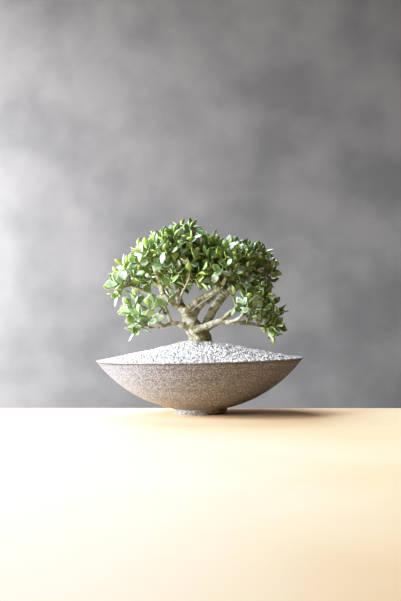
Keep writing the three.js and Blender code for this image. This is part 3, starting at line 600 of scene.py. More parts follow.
def grow_tree():
    """Twigs with their arms and leaves: the sprays as in the solids, and then the tufts and young
    leaves."""
    sprays, tufts = grow_twigs()
    runs = [(np.array(run)[:, :3], np.array(run)[:, 3]) for run in BOUGHS.values()]
    runs += [(twig.run, twig.girths) for twig in sprays]
    runs.append((np.array(TRUNK)[:, :3], np.array(TRUNK)[:, 3]))
    crown = Crown(runs)
    for twig in sprays:
        crown.add_arms(twig, 3, 1.0)
    crown.add_leaves(keyed_arms(sprays), PAIRS, 0)
    for twig in tufts:
        crown.wood += [(a, b, r, -1) for a, b, r in zip(twig.run[:-1], twig.run[1:], twig.girths)]
    crown.settle()
    for twig in tufts:
        crown.add_arms(twig, 2, 0.85)
    crown.add_leaves(keyed_arms(sprays), YOUNG_PAIRS, 2, added=True)
    crown.add_leaves(keyed_arms(tufts), TUFT_PAIRS, 0, added=True)
    crown.add_leaves(keyed_arms(sprays), LOW_PAIRS, 4, added=True)
    for twig in sprays + tufts:
        twig.shoot = Arm(twig.curve, square_to(twig.end)[0], WOOD_TIP_RADIUS)
    shoots = [(twig.shoot, twig.key * 7 + 5) for twig in sprays + tufts if twig.span > SHOOT_SPAN]
    crown.add_leaves(shoots, TWIG_PAIRS, 5, added=True)
    return sprays, tufts


# ---- Nodes and meshes -------------------------------------------------------------------------------

NODE_PREFIXES = ("GeometryNode", "ShaderNode", "FunctionNode", "")


def colour(text):
    """A colour from its sRGB hex value, made linear."""
    parts = [int(text[i:i + 2], 16) / 255 for i in (1, 3, 5)]
    return (*(c / 12.92 if c <= 0.04045 else ((c + 0.055) / 1.055) ** 2.4 for c in parts), 1)


def set_inputs(tree, made, inputs):
    """Sets a node's inputs. Each takes a value, a colour's hex value, or a link from a node or a socket."""
    for key, value in inputs.items():
        if isinstance(value, bpy.types.Node):
            value = value.outputs[0]
        if isinstance(value, bpy.types.NodeSocket):
            tree.links.new(value, made.inputs[key])
        else:
            made.inputs[key].default_value = colour(value) if str(value).startswith("#") else value


def node(tree, kind, inputs=None, stops=(), **settings):
    """Adds a node with its settings and links. Its kind goes without Blender's prefix. On a Mix node of
    colours, inputs 0, 6 and 7 are the share and the two colours, and output 2 is their mix."""
    prefix = next(prefix for prefix in NODE_PREFIXES if hasattr(bpy.types, prefix + kind))
    made = tree.nodes.new(prefix + kind)
    for key, value in settings.items():
        setattr(made, key, value)
    set_inputs(tree, made, inputs or {})
    for i, (place, tint) in enumerate(stops):
        stop = made.color_ramp.elements[i] if i < 2 else made.color_ramp.elements.new(place)
        stop.position, stop.color = place, colour(tint)
    return made


def new_tree(name, **inputs):
    """A geometry tree with named inputs, each given as its socket type and default: the tree, a function
    that adds a node to it, and what its inputs give."""
    tree = bpy.data.node_groups.new(name, "GeometryNodeTree")
    tree.interface.new_socket("Geometry", in_out="INPUT", socket_type="NodeSocketGeometry")
    for label, (kind, default) in inputs.items():
        socket = tree.interface.new_socket(label, in_out="INPUT", socket_type=kind)
        if default is not None:
            socket.default_value = default
    tree.interface.new_socket("Geometry", in_out="OUTPUT", socket_type="NodeSocketGeometry")
    add = partial(node, tree)
    return tree, add, add("NodeGroupInput").outputs


def grow(holder, tree, **values):
    """Puts a geometry tree on a holder, with its inputs set by their sockets' identifiers."""
    modifier = holder.modifiers.new(tree.name, "NODES")
    modifier.node_group = tree
    for item in tree.interface.items_tree:
        if item.item_type == "SOCKET" and item.in_out == "INPUT" and item.name in values:
            modifier[item.identifier] = values[item.name]


def new_holder(name, vertices, edges=(), faces=()):
    """An object at the origin, with its place in its mesh, given in millimetres."""
    mesh = bpy.data.meshes.new(name)
    mesh.from_pydata((np.asarray(vertices, float) * MM).tolist(), list(edges), list(faces))
    holder = bpy.data.objects.new(name, mesh)
    bpy.context.scene.collection.objects.link(holder)
    return holder


def set_attribute(mesh, name, kind, values):
    """Numbers or vectors kept on a mesh's points."""
    field = "vector" if kind == "FLOAT_VECTOR" else "value"
    attribute = mesh.attributes.new(name, kind, "POINT")
    attribute.data.foreach_set(field, np.asarray(values, bool if kind == "BOOLEAN" else np.float32).ravel())


def make_plain(holder):
    """Turns what a holder's modifiers make into its own plain mesh."""
    depsgraph = bpy.context.evaluated_depsgraph_get()
    mesh = bpy.data.meshes.new_from_object(
        holder.evaluated_get(depsgraph), preserve_all_data_layers=True, depsgraph=depsgraph)
    holder.modifiers.clear()
    old, holder.data = holder.data, mesh
    bpy.data.meshes.remove(old)
    mesh.name = holder.name


def with_paths(name, paths, seats=()):
    """A holder with a chain of edges along each path, and a loose point for each leaf."""
    points = np.vstack([*paths, *([[*leaf.root, 0]] for leaf in seats)])
    edges, start = [], 0
    for path in paths:
        edges += [(start + i, start + i + 1) for i in range(len(path) - 1)]
        start += len(path)
    holder = new_holder(name, points[:, :3], edges)
    set_attribute(holder.data, "girth", "FLOAT", points[:, 3] * MM)
    if not seats:
        return holder
    turns, sizes = [], []
    for leaf in seats:
        turns.append(Matrix(np.column_stack([leaf.side, leaf.along, leaf.face]).tolist()).to_euler())
        stretch = leaf.stretch()
        sizes.append([leaf.length * leaf.width * FULLER * stretch, leaf.length * stretch, leaf.length])
    by_leaf = {"turn": turns, "size": np.array(sizes) * MM, "face": [leaf.face for leaf in seats],
               "bend": [leaf.bend * leaf.length * MM for leaf in seats],
               "tone": [leaf.tone for leaf in seats]}
    for label, values in by_leaf.items():
        values = np.array(values)
        values = np.concatenate([np.zeros((start, *values.shape[1:])), values])
        set_attribute(holder.data, label, "FLOAT_VECTOR" if values.ndim > 1 else "FLOAT", values)
    set_attribute(holder.data, "is_leaf", "BOOLEAN", np.arange(len(points)) >= start)
    return holder


def seat_piece(piece, slot, *nodes):
    """A finished piece rides on the one body and stands for its CAD nodes, which it hides. Its slot is not
    used.
    """
    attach(piece, "root")
    if nodes:
        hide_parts(*nodes)


# ---- Materials --------------------------------------------------------------------------------------

BLENDED = dict(data_type="RGBA")
TINTED = dict(data_type="RGBA", blend_type="MULTIPLY")


def new_material(name):
    """An empty material, a function that adds a node to it, one that sets its shader's inputs, and the
    coordinates of the piece in metres."""
    material = bpy.data.materials.new(name)
    material.use_nodes = True
    tree = material.node_tree
    add = partial(node, tree)
    finish = partial(set_inputs, tree, tree.nodes["Principled BSDF"])
    return material, add, finish, add("TexCoord").outputs["Object"]


def patterned(name, texture, settings, stops, looks, relief=None):
    """A material with one pattern, which gives its colours and also its relief, where it has one."""
    material, add, finish, place = new_material(name)
    pattern = add(texture, {"Vector": place, **settings})
    looks = {"Base Color": add("ValToRGB", {"Fac": pattern}, stops=stops), **looks}
    if relief:
        strength, depth = relief
        looks["Normal"] = add("Bump", {"Strength": strength, "Distance": depth, "Height": pattern})
    finish(looks)
    return material


def stoneware_body():
    """Grogged stoneware, thrown on the wheel, sponged before it dried and left unglazed: a sandy grey-brown
    skin, matt, with pale sand and dark iron specks. The specks are 0.5 to 1 mm in life and 1.5 mm here, so
    that they show. The rim is greyer and the belly is toast-coloured, and the thin darker line under the lip
    is painted shade."""
    material, add, finish, place = new_material("stoneware_thrown_sponged_bare")
    cells = add("TexVoronoi", {"Vector": place, "Scale": 680})
    speck = add("SeparateColor", {"Color": cells.outputs["Color"]})
    body = add("ValToRGB", {"Fac": speck}, stops=[
        (0.0, "#403f40"), (1.0, "#d2d6da"), (0.12, "#5b5c5d"), (0.25, "#797b7e"), (0.7, "#898d92"),
        (0.85, "#acb1b6")])
    height = add("SeparateXYZ", {"Vector": place})
    share = add("MapRange", {"Value": height.outputs["Z"], "From Min": 0, "From Max": RIM_HEIGHT * MM})
    # Tints by height: toast-coloured towards the foot, greyer towards the rim, and a thin darker band at
    # 0.965 to 0.975 of the rim's height, which is painted shade under the lip.
    fired_tint_and_lip_shade = add("ValToRGB", {"Fac": share}, stops=[
        (0.12, "#f8eaca"), (1.0, "#ffffff"), (0.42, "#f3eee6"), (0.75, "#e9e7e7"), (0.95, "#dedde0"),
        (0.965, "#aea6a0"), (0.975, "#aea6a0"), (0.985, "#ffffff")])
    streaks = add("Mapping", {"Vector": place, "Scale": (4, 4, 90)})
    streaks_and_shaded_side = add("TexNoise", {"Vector": streaks, "Scale": 2, "Detail": 3})
    hand = add("ValToRGB", {"Fac": streaks_and_shaded_side}, stops=[(0.3, "#dddbd7"), (0.7, "#ffffff")])
    tinted_body = add("Mix", {0: 1.0, 6: body, 7: fired_tint_and_lip_shade}, **TINTED)
    tint = add("Mix", {0: 0.7, 6: tinted_body.outputs[2], 7: hand}, **TINTED)
    grit = add("TexNoise", {"Vector": place, "Scale": 500, "Detail": 3, "Roughness": 0.7})
    bump = add("Bump", {"Strength": 0.45, "Distance": 0.0006, "Height": grit})
    finish({"Base Color": tint.outputs[2], "Roughness": 0.8, "IOR": 1.5, "Normal": bump})
    return material


def stoneware_foot():
    """The same clay on the foot, wiped and reduced grey in the kiln: mottled grey with paler ash."""
    return patterned(
        "stoneware_wiped_reduced_foot", "TexNoise", {"Scale": 170, "Detail": 5, "Roughness": 0.7},
        [(0.35, "#484845"), (0.66, "#bfc1bf"), (0.5, "#858683")], {"Roughness": 0.85, "IOR": 1.5},
        relief=(0.6, 0.0008))


def jade_bark():
    """Living bark of an old jade plant, grown: pale corky skin over green, with rings of scars of old leaf
    pairs. Thick wood is cream and tan, thin twigs are browner, and the rings are dark. The troughs of the
    wrinkles are darker too, which is painted shade. Mossy speckles mark the foot, and the extra speckles on
    the side away from the window are painted shade."""
    material, add, finish, place = new_material("jade_bark_corky_grown")
    patch = add("TexNoise", {"Vector": place, "Scale": 60, "Detail": 5, "Roughness": 0.6})
    old = add("ValToRGB", {"Fac": patch}, stops=[
        (0.3, "#68694c"), (0.66, "#e9e7da"), (0.42, "#9a9976"), (0.52, "#bfbda4")])
    young = add("ValToRGB", {"Fac": patch}, stops=[(0.3, "#4b4430"), (0.7, "#989070")])
    thick = add("Attribute", attribute_name="thick")
    skin = add("Mix", {0: thick.outputs["Fac"], 6: young, 7: old}, **BLENDED)
    # This attribute darkens the rings of leaf scars, and also the troughs of the wrinkles, which is painted
    # shade in the creases.
    scar = add("Attribute", attribute_name="scar")
    ringed_and_crease_shaded = add("Mix", {0: scar.outputs["Fac"], 6: skin.outputs[2], 7: "#3a3020"}, **BLENDED)
    height = add("SeparateXYZ", {"Vector": place})
    # Mossy speckles at the foot, more of them lower down; more speckles on the side away from the window are
    # painted shade.
    low = add("MapRange", {
        "Value": height.outputs["Z"], "From Min": 0.26, "From Max": 0.175, "To Min": 0.36, "To Max": 0.56})
    damp = add("TexNoise", {"Vector": place, "Scale": 110, "Detail": 6, "Roughness": 0.75})
    streaks_and_shaded_side = add("Attribute", attribute_name="damp")
    lower = add("Math", {0: streaks_and_shaded_side.outputs["Fac"], 1: 0.2, 2: low}, operation="MULTIPLY_ADD")
    spot_share = add("Math", {0: lower, 1: damp}, operation="SUBTRACT")
    spots = add("MapRange", {"Value": spot_share, "From Min": 0, "From Max": 0.06, "To Max": 0.8})
    speckled_bark = add("Mix", {0: spots, 6: ringed_and_crease_shaded.outputs[2], 7: "#6a653c"}, **BLENDED)
    grain = add("TexNoise", {"Vector": place, "Scale": 420, "Detail": 3})
    bump = add("Bump", {"Strength": 0.5, "Distance": 0.0007, "Height": grain})
    finish({"Base Color": speckled_bark.outputs[2], "Roughness": 0.7, "IOR": 1.45, "Normal": bump})
    return material


def jade_leaf():
    """A living jade leaf, fleshy and waxed: green, lighter in young leaves, with a pale blue-grey bloom
    above, a yellower underside and margin, and a soft shine. The pale patches above are partly a waxy bloom
    of the leaf and partly painted sheen of the sky's reflection. Light soaks in, so that thin parts glow."""
    material, add, finish, place = new_material("jade_leaf_fleshy_waxed")
    tone = add("Attribute", attribute_name="tone")
    age = add("ValToRGB", {"Fac": tone.outputs["Fac"]}, stops=[
        (0.0, "#3c5c0c"), (1.0, "#9cb05a"), (0.45, "#5d8726"), (0.8, "#80a248")])
    over = add("Attribute", attribute_name="leaf_over")
    under = add("MapRange", {
        "Value": over.outputs["Fac"], "From Min": 0, "From Max": -1, "To Min": 0, "To Max": 0.5})
    paler = add("Mix", {0: under, 6: age, 7: "#94a846"}, **BLENDED)
    # Pale blue-grey patches on the upper faces: partly waxy bloom and partly painted sheen of the sky.
    cloud = add("TexNoise", {"Vector": place, "Scale": 55, "Detail": 2})
    patch = add("MapRange", {
        "Value": cloud, "From Min": 0.42, "From Max": 0.6, "To Min": 0.04, "To Max": 0.6})
    wax_and_sheen = add("Math", {0: patch, 1: over.outputs["Fac"]}, operation="MULTIPLY", use_clamp=True)
    bloomed_and_sheened = add("Mix", {0: wax_and_sheen, 6: paler.outputs[2], 7: "#bdc8ce"}, **BLENDED)
    rim = add("Attribute", attribute_name="leaf_rim")
    edge = add("MapRange", {
        "Value": rim.outputs["Fac"], "From Min": 0.7, "From Max": 1, "To Min": 0, "To Max": 0.25})
    edged = add("Mix", {0: edge, 6: bloomed_and_sheened.outputs[2], 7: "#9fb34c"}, **BLENDED)
    flesh = add("TexNoise", {"Vector": place, "Scale": 240, "Detail": 2})
    bump = add("Bump", {"Strength": 0.12, "Distance": 0.0005, "Height": flesh})
    finish({"Base Color": edged.outputs[2], "Roughness": 0.48, "IOR": 1.47, "Normal": bump,
            "Subsurface Weight": 0.15, "Subsurface Radius": (0.6, 1.0, 0.25), "Subsurface Scale": 0.004,
            "Coat Weight": 1.0, "Coat Roughness": 0.45, "Coat IOR": 1.7})
    return material


def green_stem():
    """The soft stem of a young jade shoot, grown: green going to brown cork, with little shine."""
    return patterned("jade_stem_green_grown", "TexNoise", {"Scale": 220, "Detail": 3},
                     [(0.35, "#6d6a38"), (0.65, "#8d9a4f")], {"Roughness": 0.6, "IOR": 1.42})


def marble_chips():
    """White marble, crushed, tumbled and washed: bright broken faces, with some greyer stones. The gravel's
    body between the stones takes the darkest grey, which is painted shade.
    """
    material, add, finish, place = new_material("marble_crushed_tumbled")
    tone = add("Attribute", attribute_name="tone")
    stone = add("ValToRGB", {"Fac": tone.outputs["Fac"]}, stops=[
        (0.05, "#8f8d8a"), (1.0, "#f6f4ef"), (0.1, "#b6b5b2"), (0.2, "#c2c0bc"), (0.5, "#d5d4cf")])
    cloud = add("TexNoise", {"Vector": place, "Scale": 300, "Detail": 2})
    dust = add("ValToRGB", {"Fac": cloud}, stops=[(0.3, "#e3e2de"), (0.6, "#ffffff")])
    tint = add("Mix", {0: 0.5, 6: stone, 7: dust}, **TINTED)
    finish({"Base Color": tint.outputs[2], "Roughness": 0.62, "IOR": 1.5})
    return material


def potting_soil():
    """Gritty potting soil, sieved and damp: nearly black crumbs with a few pale grains of pumice."""
    return patterned("soil_sieved_damp", "TexVoronoi", {"Scale": 260},
                     [(0.1, "#2a2019"), (0.9, "#8b7b66"), (0.5, "#45362a")], {"Roughness": 0.95},
                     relief=(0.8, 0.002))


def screen_plastic():
    """Polyethylene drain screen, moulded: black, with the fine grain of its mould."""
    return patterned("polyethylene_moulded", "TexNoise", {"Scale": 900, "Detail": 2},
                     [(0.4, "#1d1e1e"), (0.6, "#303232")], {"Roughness": 0.5, "IOR": 1.51},
                     relief=(0.2, 0.0003))


# ---- Geometry trees ---------------------------------------------------------------------------------


def sweep_tree():
    """A tree that sweeps a round section along each chain of edges, as thick as its girth says."""
    tree, add, given = new_tree("swept_stems", step=("NodeSocketFloat", 0.003), sides=("NodeSocketInt", 8),
                                material=("NodeSocketMaterial", None))
    chain = add("MeshToCurve", {"Mesh": given["Geometry"]})
    smooth = add("CurveSplineType", {"Curve": chain}, spline_type="CATMULL_ROM")
    fine = add("ResampleCurve", {"Curve": smooth, "Length": given["step"]}, mode="LENGTH")
    girth = add("InputNamedAttribute", {"Name": "girth"}, data_type="FLOAT")
    section = add("CurvePrimitiveCircle", {"Resolution": given["sides"], "Radius": 1.0})
    tube = add("CurveToMesh", {"Curve": fine, "Profile Curve": section, "Scale": girth, "Fill Caps": True})
    real = add("RealizeInstances", {"Geometry": tube})
    smooth_faces = add("SetShadeSmooth", {"Geometry": real})
    done = add("SetMaterial", {"Geometry": smooth_faces, "Material": given["material"]})
    add("NodeGroupOutput", {"Geometry": done})
    return tree


def leafy_tree(stems):
    """A tree that sets a leaf on each loose point, bends it along its length, and sweeps the stems."""
    tree, add, given = new_tree(
        "opposite_leaves", leaf=("NodeSocketObject", None), leaf_material=("NodeSocketMaterial", None),
        stem_material=("NodeSocketMaterial", None), stem_sides=("NodeSocketInt", 7))
    names = dict(is_leaf="BOOLEAN", turn="FLOAT_VECTOR", size="FLOAT_VECTOR", face="FLOAT_VECTOR",
                 bend="FLOAT", leaf_t="FLOAT")
    kept = {key: add("InputNamedAttribute", {"Name": key}, data_type=kind) for key, kind in names.items()}
    parts = add("SeparateGeometry", {
        "Geometry": given["Geometry"], "Selection": kept["is_leaf"]}, domain="POINT")
    form = add("ObjectInfo", {"Object": given["leaf"]})
    leaves = add("InstanceOnPoints", {
        "Points": parts.outputs["Selection"], "Instance": form.outputs["Geometry"],
        "Rotation": kept["turn"], "Scale": kept["size"]})
    swept = add("Group", node_tree=stems)
    set_inputs(tree, swept, {
        "Geometry": parts.outputs["Inverted"], "sides": given["stem_sides"],
        "material": given["stem_material"]})
    both = add("JoinGeometry", {"Geometry": leaves})
    tree.links.new(swept.outputs[0], both.inputs[0])
    real = add("RealizeInstances", {"Geometry": both})
    square = add("Math", {0: kept["leaf_t"], 1: kept["leaf_t"]}, operation="MULTIPLY")
    amount = add("Math", {0: square, 1: kept["bend"]}, operation="MULTIPLY")
    lift = add("VectorMath", {0: kept["face"], "Scale": amount}, operation="SCALE")
    bent = add("SetPosition", {"Geometry": real, "Offset": lift})
    smooth = add("SetShadeSmooth", {"Geometry": bent})
    done = add("SetMaterial", {
        "Geometry": smooth, "Selection": kept["is_leaf"], "Material": given["leaf_material"]})
    add("NodeGroupOutput", {"Geometry": done})
    return tree


def gravel_tree():
    """A tree that strews stones over the faces marked as bed, each of a chance form, turn and size."""
    tree, add, given = new_tree(
        "strewn_gravel", stones=("NodeSocketCollection", None), spacing=("NodeSocketFloat", 0.004),
        size=("NodeSocketFloat", 0.0055), seed=("NodeSocketInt", 4), material=("NodeSocketMaterial", None))
    bed = add("InputNamedAttribute", {"Name": "bed"}, data_type="BOOLEAN")
    points = add("DistributePointsOnFaces", {
        "Mesh": given["Geometry"], "Selection": bed, "Distance Min": given["spacing"],
        "Density Max": MOST_STONES, "Seed": given["seed"]}, distribute_method="POISSON")
    forms = add("CollectionInfo", {
        "Collection": given["stones"], "Separate Children": True, "Reset Children": True})
    which = add("RandomValue", {4: 0, 5: STONE_FORMS - 1, "Seed": 1}, data_type="INT")
    turn = add("RandomValue", {0: (0,) * 3, 1: (FULL_TURN,) * 3, "Seed": 2},
               data_type="FLOAT_VECTOR")
    share = add("RandomValue", {2: 0.75, 3: 1.15, "Seed": 3}, data_type="FLOAT")
    scale = add("Math", {0: share.outputs[1], 1: given["size"]}, operation="MULTIPLY")
    stones = add("InstanceOnPoints", {
        "Points": points.outputs["Points"], "Instance": forms, "Pick Instance": True,
        "Instance Index": which.outputs[2], "Rotation": turn.outputs[0], "Scale": scale})
    chance_tone = add("RandomValue", {2: 0, 3: 1, "Seed": 5}, data_type="FLOAT")
    toned = add("StoreNamedAttribute", {
        "Geometry": stones, "Name": "tone", "Value": chance_tone.outputs[1]}, data_type="FLOAT",
        domain="INSTANCE")
    both = add("JoinGeometry", {"Geometry": given["Geometry"]})
    tree.links.new(toned.outputs[0], both.inputs[0])
    real = add("RealizeInstances", {"Geometry": both})
    done = add("SetMaterial", {"Geometry": real, "Material": given["material"]})
    add("NodeGroupOutput", {"Geometry": done})
    return tree


# ---- Forms ------------------------------------------------------------------------------------------


def ring_faces(first, second, count):
    """The faces between two rings of points, each given by its first point's number."""
    return [(first + k, first + (k + 1) % count, second + (k + 1) % count, second + k) for k in range(count)]


def outward_faces(piece):
    """Turns a closed mesh's faces outwards."""
    work = bmesh.new()
    work.from_mesh(piece.data)
    bmesh.ops.recalc_face_normals(work, faces=work.faces)
    work.to_mesh(piece.data)
    work.free()
    return piece


def leaf_form():
    """One fleshy leaf of length 1 along +Y: flat and slightly cupped above, full below, with a blunt
    margin."""
    rows = [0, 0.13, 0.3, 0.47, 0.63, 0.78, 0.89, 0.965]
    section = [(-1, 0), (-0.74, 0.5), (0, 0.62), (0.74, 0.5), (1, 0), (0.74, -0.85), (0, -1.3),
               (-0.74, -0.85)]
    half_thick = LEAF_THICKNESS / LEAF_LENGTH / 2
    points = []  # each its place, then its share of the length, its nearness to the rim, and its side
    for t in rows:
        fullness = math.sin(math.pi * (0.14 + 0.8 * t)) ** 0.55
        for w, h in section:
            cup = LEAF_CUP * w * w * LEAF_WIDTH_SHARE * math.sin(math.pi * min(1, t + 0.1))
            half = float(leaf_half_width(t)) * LEAF_WIDTH_SHARE / 2
            points.append([w * half, t, h * half_thick * fullness + cup, t, max(abs(w), t**4), np.sign(h)])
    points.append([0, 1, 0, 1, 1, 0])
    n, last = len(section), len(section) * (len(rows) - 1)
    faces = [face for start in range(0, last, n) for face in ring_faces(start, start + n, n)]
    faces += [(last + k, last + (k + 1) % n, last + n) for k in range(n)]
    faces.append(tuple(reversed(range(n))))
    points = np.array(points)
    form = new_holder("leaf_form", points[:, :3] / MM, faces=faces)
    for column, name in enumerate(("leaf_t", "leaf_rim", "leaf_over"), 3):
        set_attribute(form.data, name, "FLOAT", points[:, column])
    return outward_faces(form)


def stone_forms():
    """Broken stones about 1 across, each the hull of a few chance points."""
    collection = bpy.data.collections.new("stone_forms")
    for i in range(STONE_FORMS):
        work = bmesh.new()
        for k in range(STONE_CORNERS):
            u, v = halton(k + 1 + i * 17, 2), halton(k + 1 + i * 17, 3)
            z, angle = 1 - 2 * v, 2 * math.pi * u
            r = math.sqrt(max(0, 1 - z * z))
            size = 0.5 * (0.9 + 0.2 * chance(i, k, 1))
            stretch = (1.15 - 0.3 * chance(i, 0, 2), 1.0, 0.8 + 0.3 * chance(i, 0, 3))
            corner = Vector((r * math.cos(angle) * stretch[0], r * math.sin(angle), z * stretch[2]))
            work.verts.new(corner * size)
        hull = bmesh.ops.convex_hull(work, input=work.verts)
        loose = [e for e in hull["geom_interior"] if isinstance(e, bmesh.types.BMVert)]
        bmesh.ops.delete(work, geom=loose, context="VERTS")
        bmesh.ops.recalc_face_normals(work, faces=work.faces)
        mesh = bpy.data.meshes.new(f"stone_{i}")
        work.to_mesh(mesh)
        work.free()
        collection.objects.link(bpy.data.objects.new(f"stone_{i}", mesh))
    return collection


def turned(name, profile_at, turns):
    """A closed profile of radius and height pairs, turned round the upright axis. It may change on the
    way."""
    vertices, faces = [], []
    for k in range(turns):
        angle = 2 * math.pi * k / turns
        profile = profile_at(angle)
        vertices += [[r * math.cos(angle), r * math.sin(angle), z] for r, z in profile]
        faces += ring_faces(k * len(profile), (k + 1) % turns * len(profile), len(profile))
    return outward_faces(new_holder(name, vertices, faces=faces))


# ---- Bowl and gravel --------------------------------------------------------------------------------

BOWL_CENTRE_HEIGHT = RIM_HEIGHT + math.sqrt(BOWL_SPHERE_RADIUS**2 - RIM_RADIUS**2)
INSIDE_SPHERE = BOWL_SPHERE_RADIUS - WALL


def bowl_height(r, sphere=BOWL_SPHERE_RADIUS):
    return BOWL_CENTRE_HEIGHT - math.sqrt(sphere**2 - r**2)


def wall_radius(z):
    """The bowl's inside radius at a height."""
    return math.sqrt(INSIDE_SPHERE**2 - (BOWL_CENTRE_HEIGHT - z) ** 2)


def mound_height(r):
    return MOUND_EDGE_HEIGHT + MOUND_RISE * max(0, 1 - r / MOUND_RADIUS) ** MOUND_POWER


def arc(centre_r, centre_z, radius, first, last, steps):
    """Points of a small rounding in a profile, between two angles in degrees."""
    angles = np.radians(np.linspace(first, last, steps))
    return [(centre_r + radius * math.cos(a), centre_z + radius * math.sin(a)) for a in angles]


def make_pot(body, foot):
    """The bowl and its foot, turned finely, with a softly rounded lip."""
    foot_inside = FOOT_RADIUS - FOOT_WALL
    rim_inside = wall_radius(RIM_HEIGHT)
    outside = [(r, bowl_height(r)) for r in np.linspace(FOOT_TOP_RADIUS + 1.5, RIM_RADIUS - 0.8, 46)]
    inside = [(r, bowl_height(r, INSIDE_SPHERE)) for r in np.linspace(rim_inside - 0.4, SEAT_RADIUS, 34)]
    seat_height = bowl_height(SEAT_RADIUS, INSIDE_SPHERE)
    lip = arc(RIM_RADIUS - LIP_RADIUS, RIM_HEIGHT - LIP_RADIUS, LIP_RADIUS, -20, 90, 6)
    lip += arc(rim_inside + LIP_RADIUS, RIM_HEIGHT - LIP_RADIUS, LIP_RADIUS, 90, 180, 5)
    profile = [
        (DRAIN_RADIUS, bowl_height(DRAIN_RADIUS)), (25, bowl_height(25)),
        (foot_inside - 4, bowl_height(foot_inside - 4) - 0.4),
        (foot_inside - 2, bowl_height(foot_inside) - 2), (foot_inside - 0.8, 1.2), (foot_inside + 1, 0),
        *arc(FOOT_RADIUS - 1.5, 1.5, 1.5, -90, -15, 4),
        (62.4, 5), (64.6, 9.2), (FOOT_TOP_RADIUS - 0.9, FOOT_TOP_HEIGHT - 1.2),
        (FOOT_TOP_RADIUS - 0.1, FOOT_TOP_HEIGHT), *outside, *lip, *inside, (DRAIN_RADIUS + 1, seat_height),
        (DRAIN_RADIUS, seat_height - 1),
    ]
    pot = turned("stoneware_bowl", lambda angle: profile, BOWL_TURNS)
    pot.data.materials.append(body)
    pot.data.materials.append(foot)
    for face in pot.data.polygons:
        face.use_smooth = True
        x, y, z = face.center / MM
        face.material_index = int(z < FOOT_TOP_HEIGHT + 0.2 and math.hypot(x, y) > foot_inside - 3)
    seat_piece(pot, "stoneware", "pot")


def gravel_profile(angle):
    """The gravel's body under its top stones: it has sunk a little at the right, where its edge dips."""
    sunk = EDGE_DIP * max(0, math.cos(angle)) ** 8
    edge = MOUND_EDGE_HEIGHT - STONE_SINK - sunk
    first, last = TRUNK_RADIUS + 1.8 + TRUNK_X * math.cos(angle), wall_radius(edge) - WALL_GAP
    top = []
    for share in np.linspace(0, 1, 46):
        r = first + (last - first) * share
        rough = noise.noise(Vector((r * math.cos(angle), r * math.sin(angle), 0)) / LUMP_SIZE)
        fade = min(1, 8 * (1 - share))
        top.append((r, mound_height(r) - STONE_SINK - sunk * share**5 + LUMP_HEIGHT * rough * fade))
    under = edge - GRAVEL_DEPTH + 5
    side = wall_radius(under)
    return top + [(side - WALL_GAP - i * (side - first - 6) / 5, under) for i in range(5)] + [(first, under)]


def make_gravel(material):
    """Small stones over the soil, strewn in one layer on a rough body that follows the mound."""
    bed = turned("gravel_layer", gravel_profile, MOUND_TURNS)
    attribute = bed.data.attributes.new("bed", "BOOLEAN", "FACE")
    attribute.data.foreach_set("value", [face.normal.z > 0.5 for face in bed.data.polygons])
    # The body between the stones has tone 0, the darkest grey of the marble's colours: painted shade in the
    # gaps between the stones.
    set_attribute(bed.data, "tone", "FLOAT", np.zeros(len(bed.data.vertices)))
    grow(bed, gravel_tree(), stones=stone_forms(), spacing=STONE_SPACING * MM, size=STONE_SIZE * MM,
         material=material)
    make_plain(bed)
    seat_piece(bed, "gravel", "gravel")


# ---- Wood -------------------------------------------------------------------------------------------


def voxel_skin(holder, voxel, passes):
    """Melts the tubes of a holder into one skin, smooths it and makes it plain."""
    remesh = holder.modifiers.new("skin", "REMESH")
    remesh.mode, remesh.voxel_size = "VOXEL", voxel * MM
    smooth = holder.modifiers.new("smooth", "SMOOTH")
    smooth.factor, smooth.iterations = 0.5, passes
    make_plain(holder)


def make_wood(sprays, tufts, stems, material):
    """Trunk, boughs and twigs as one skin, with collars at the forks, rings of leaf scars and rough bark."""
    boughs = [np.array(run, float) for run in {**BOUGHS, **RESHAPED}.values()]
    thick = [np.array(RESHAPED_TRUNK, float), *boughs]
    every = thick + [twig.path() for twig in sprays + tufts]
    limbs = with_paths("limbs", thick)
    grow(limbs, stems, sides=20, material=material)
    voxel_skin(limbs, COLLAR_VOXEL, 9)
    wood = with_paths("wood", [path + [0, 0, 0, 0.25] for path in every])
    grow(wood, stems, sides=12, material=material)
    make_plain(wood)
    bpy.ops.object.select_all(action="DESELECT")
    limbs.select_set(True)
    wood.select_set(True)
    bpy.context.view_layer.objects.active = wood
    bpy.ops.object.join()
    voxel_skin(wood, BARK_VOXEL, 3)
    wear_bark(wood.data, every)
    wood.name = wood.data.name = "trunk_and_boughs"
    seat_piece(wood, "bark", "trunk")


def lumps(places, size=1.0, shift=(0, 0, 0)):
    """Smooth chance numbers at some places, with lumps of a size."""
    return np.array([noise.noise(Vector(place) / size + Vector(shift)) for place in places])


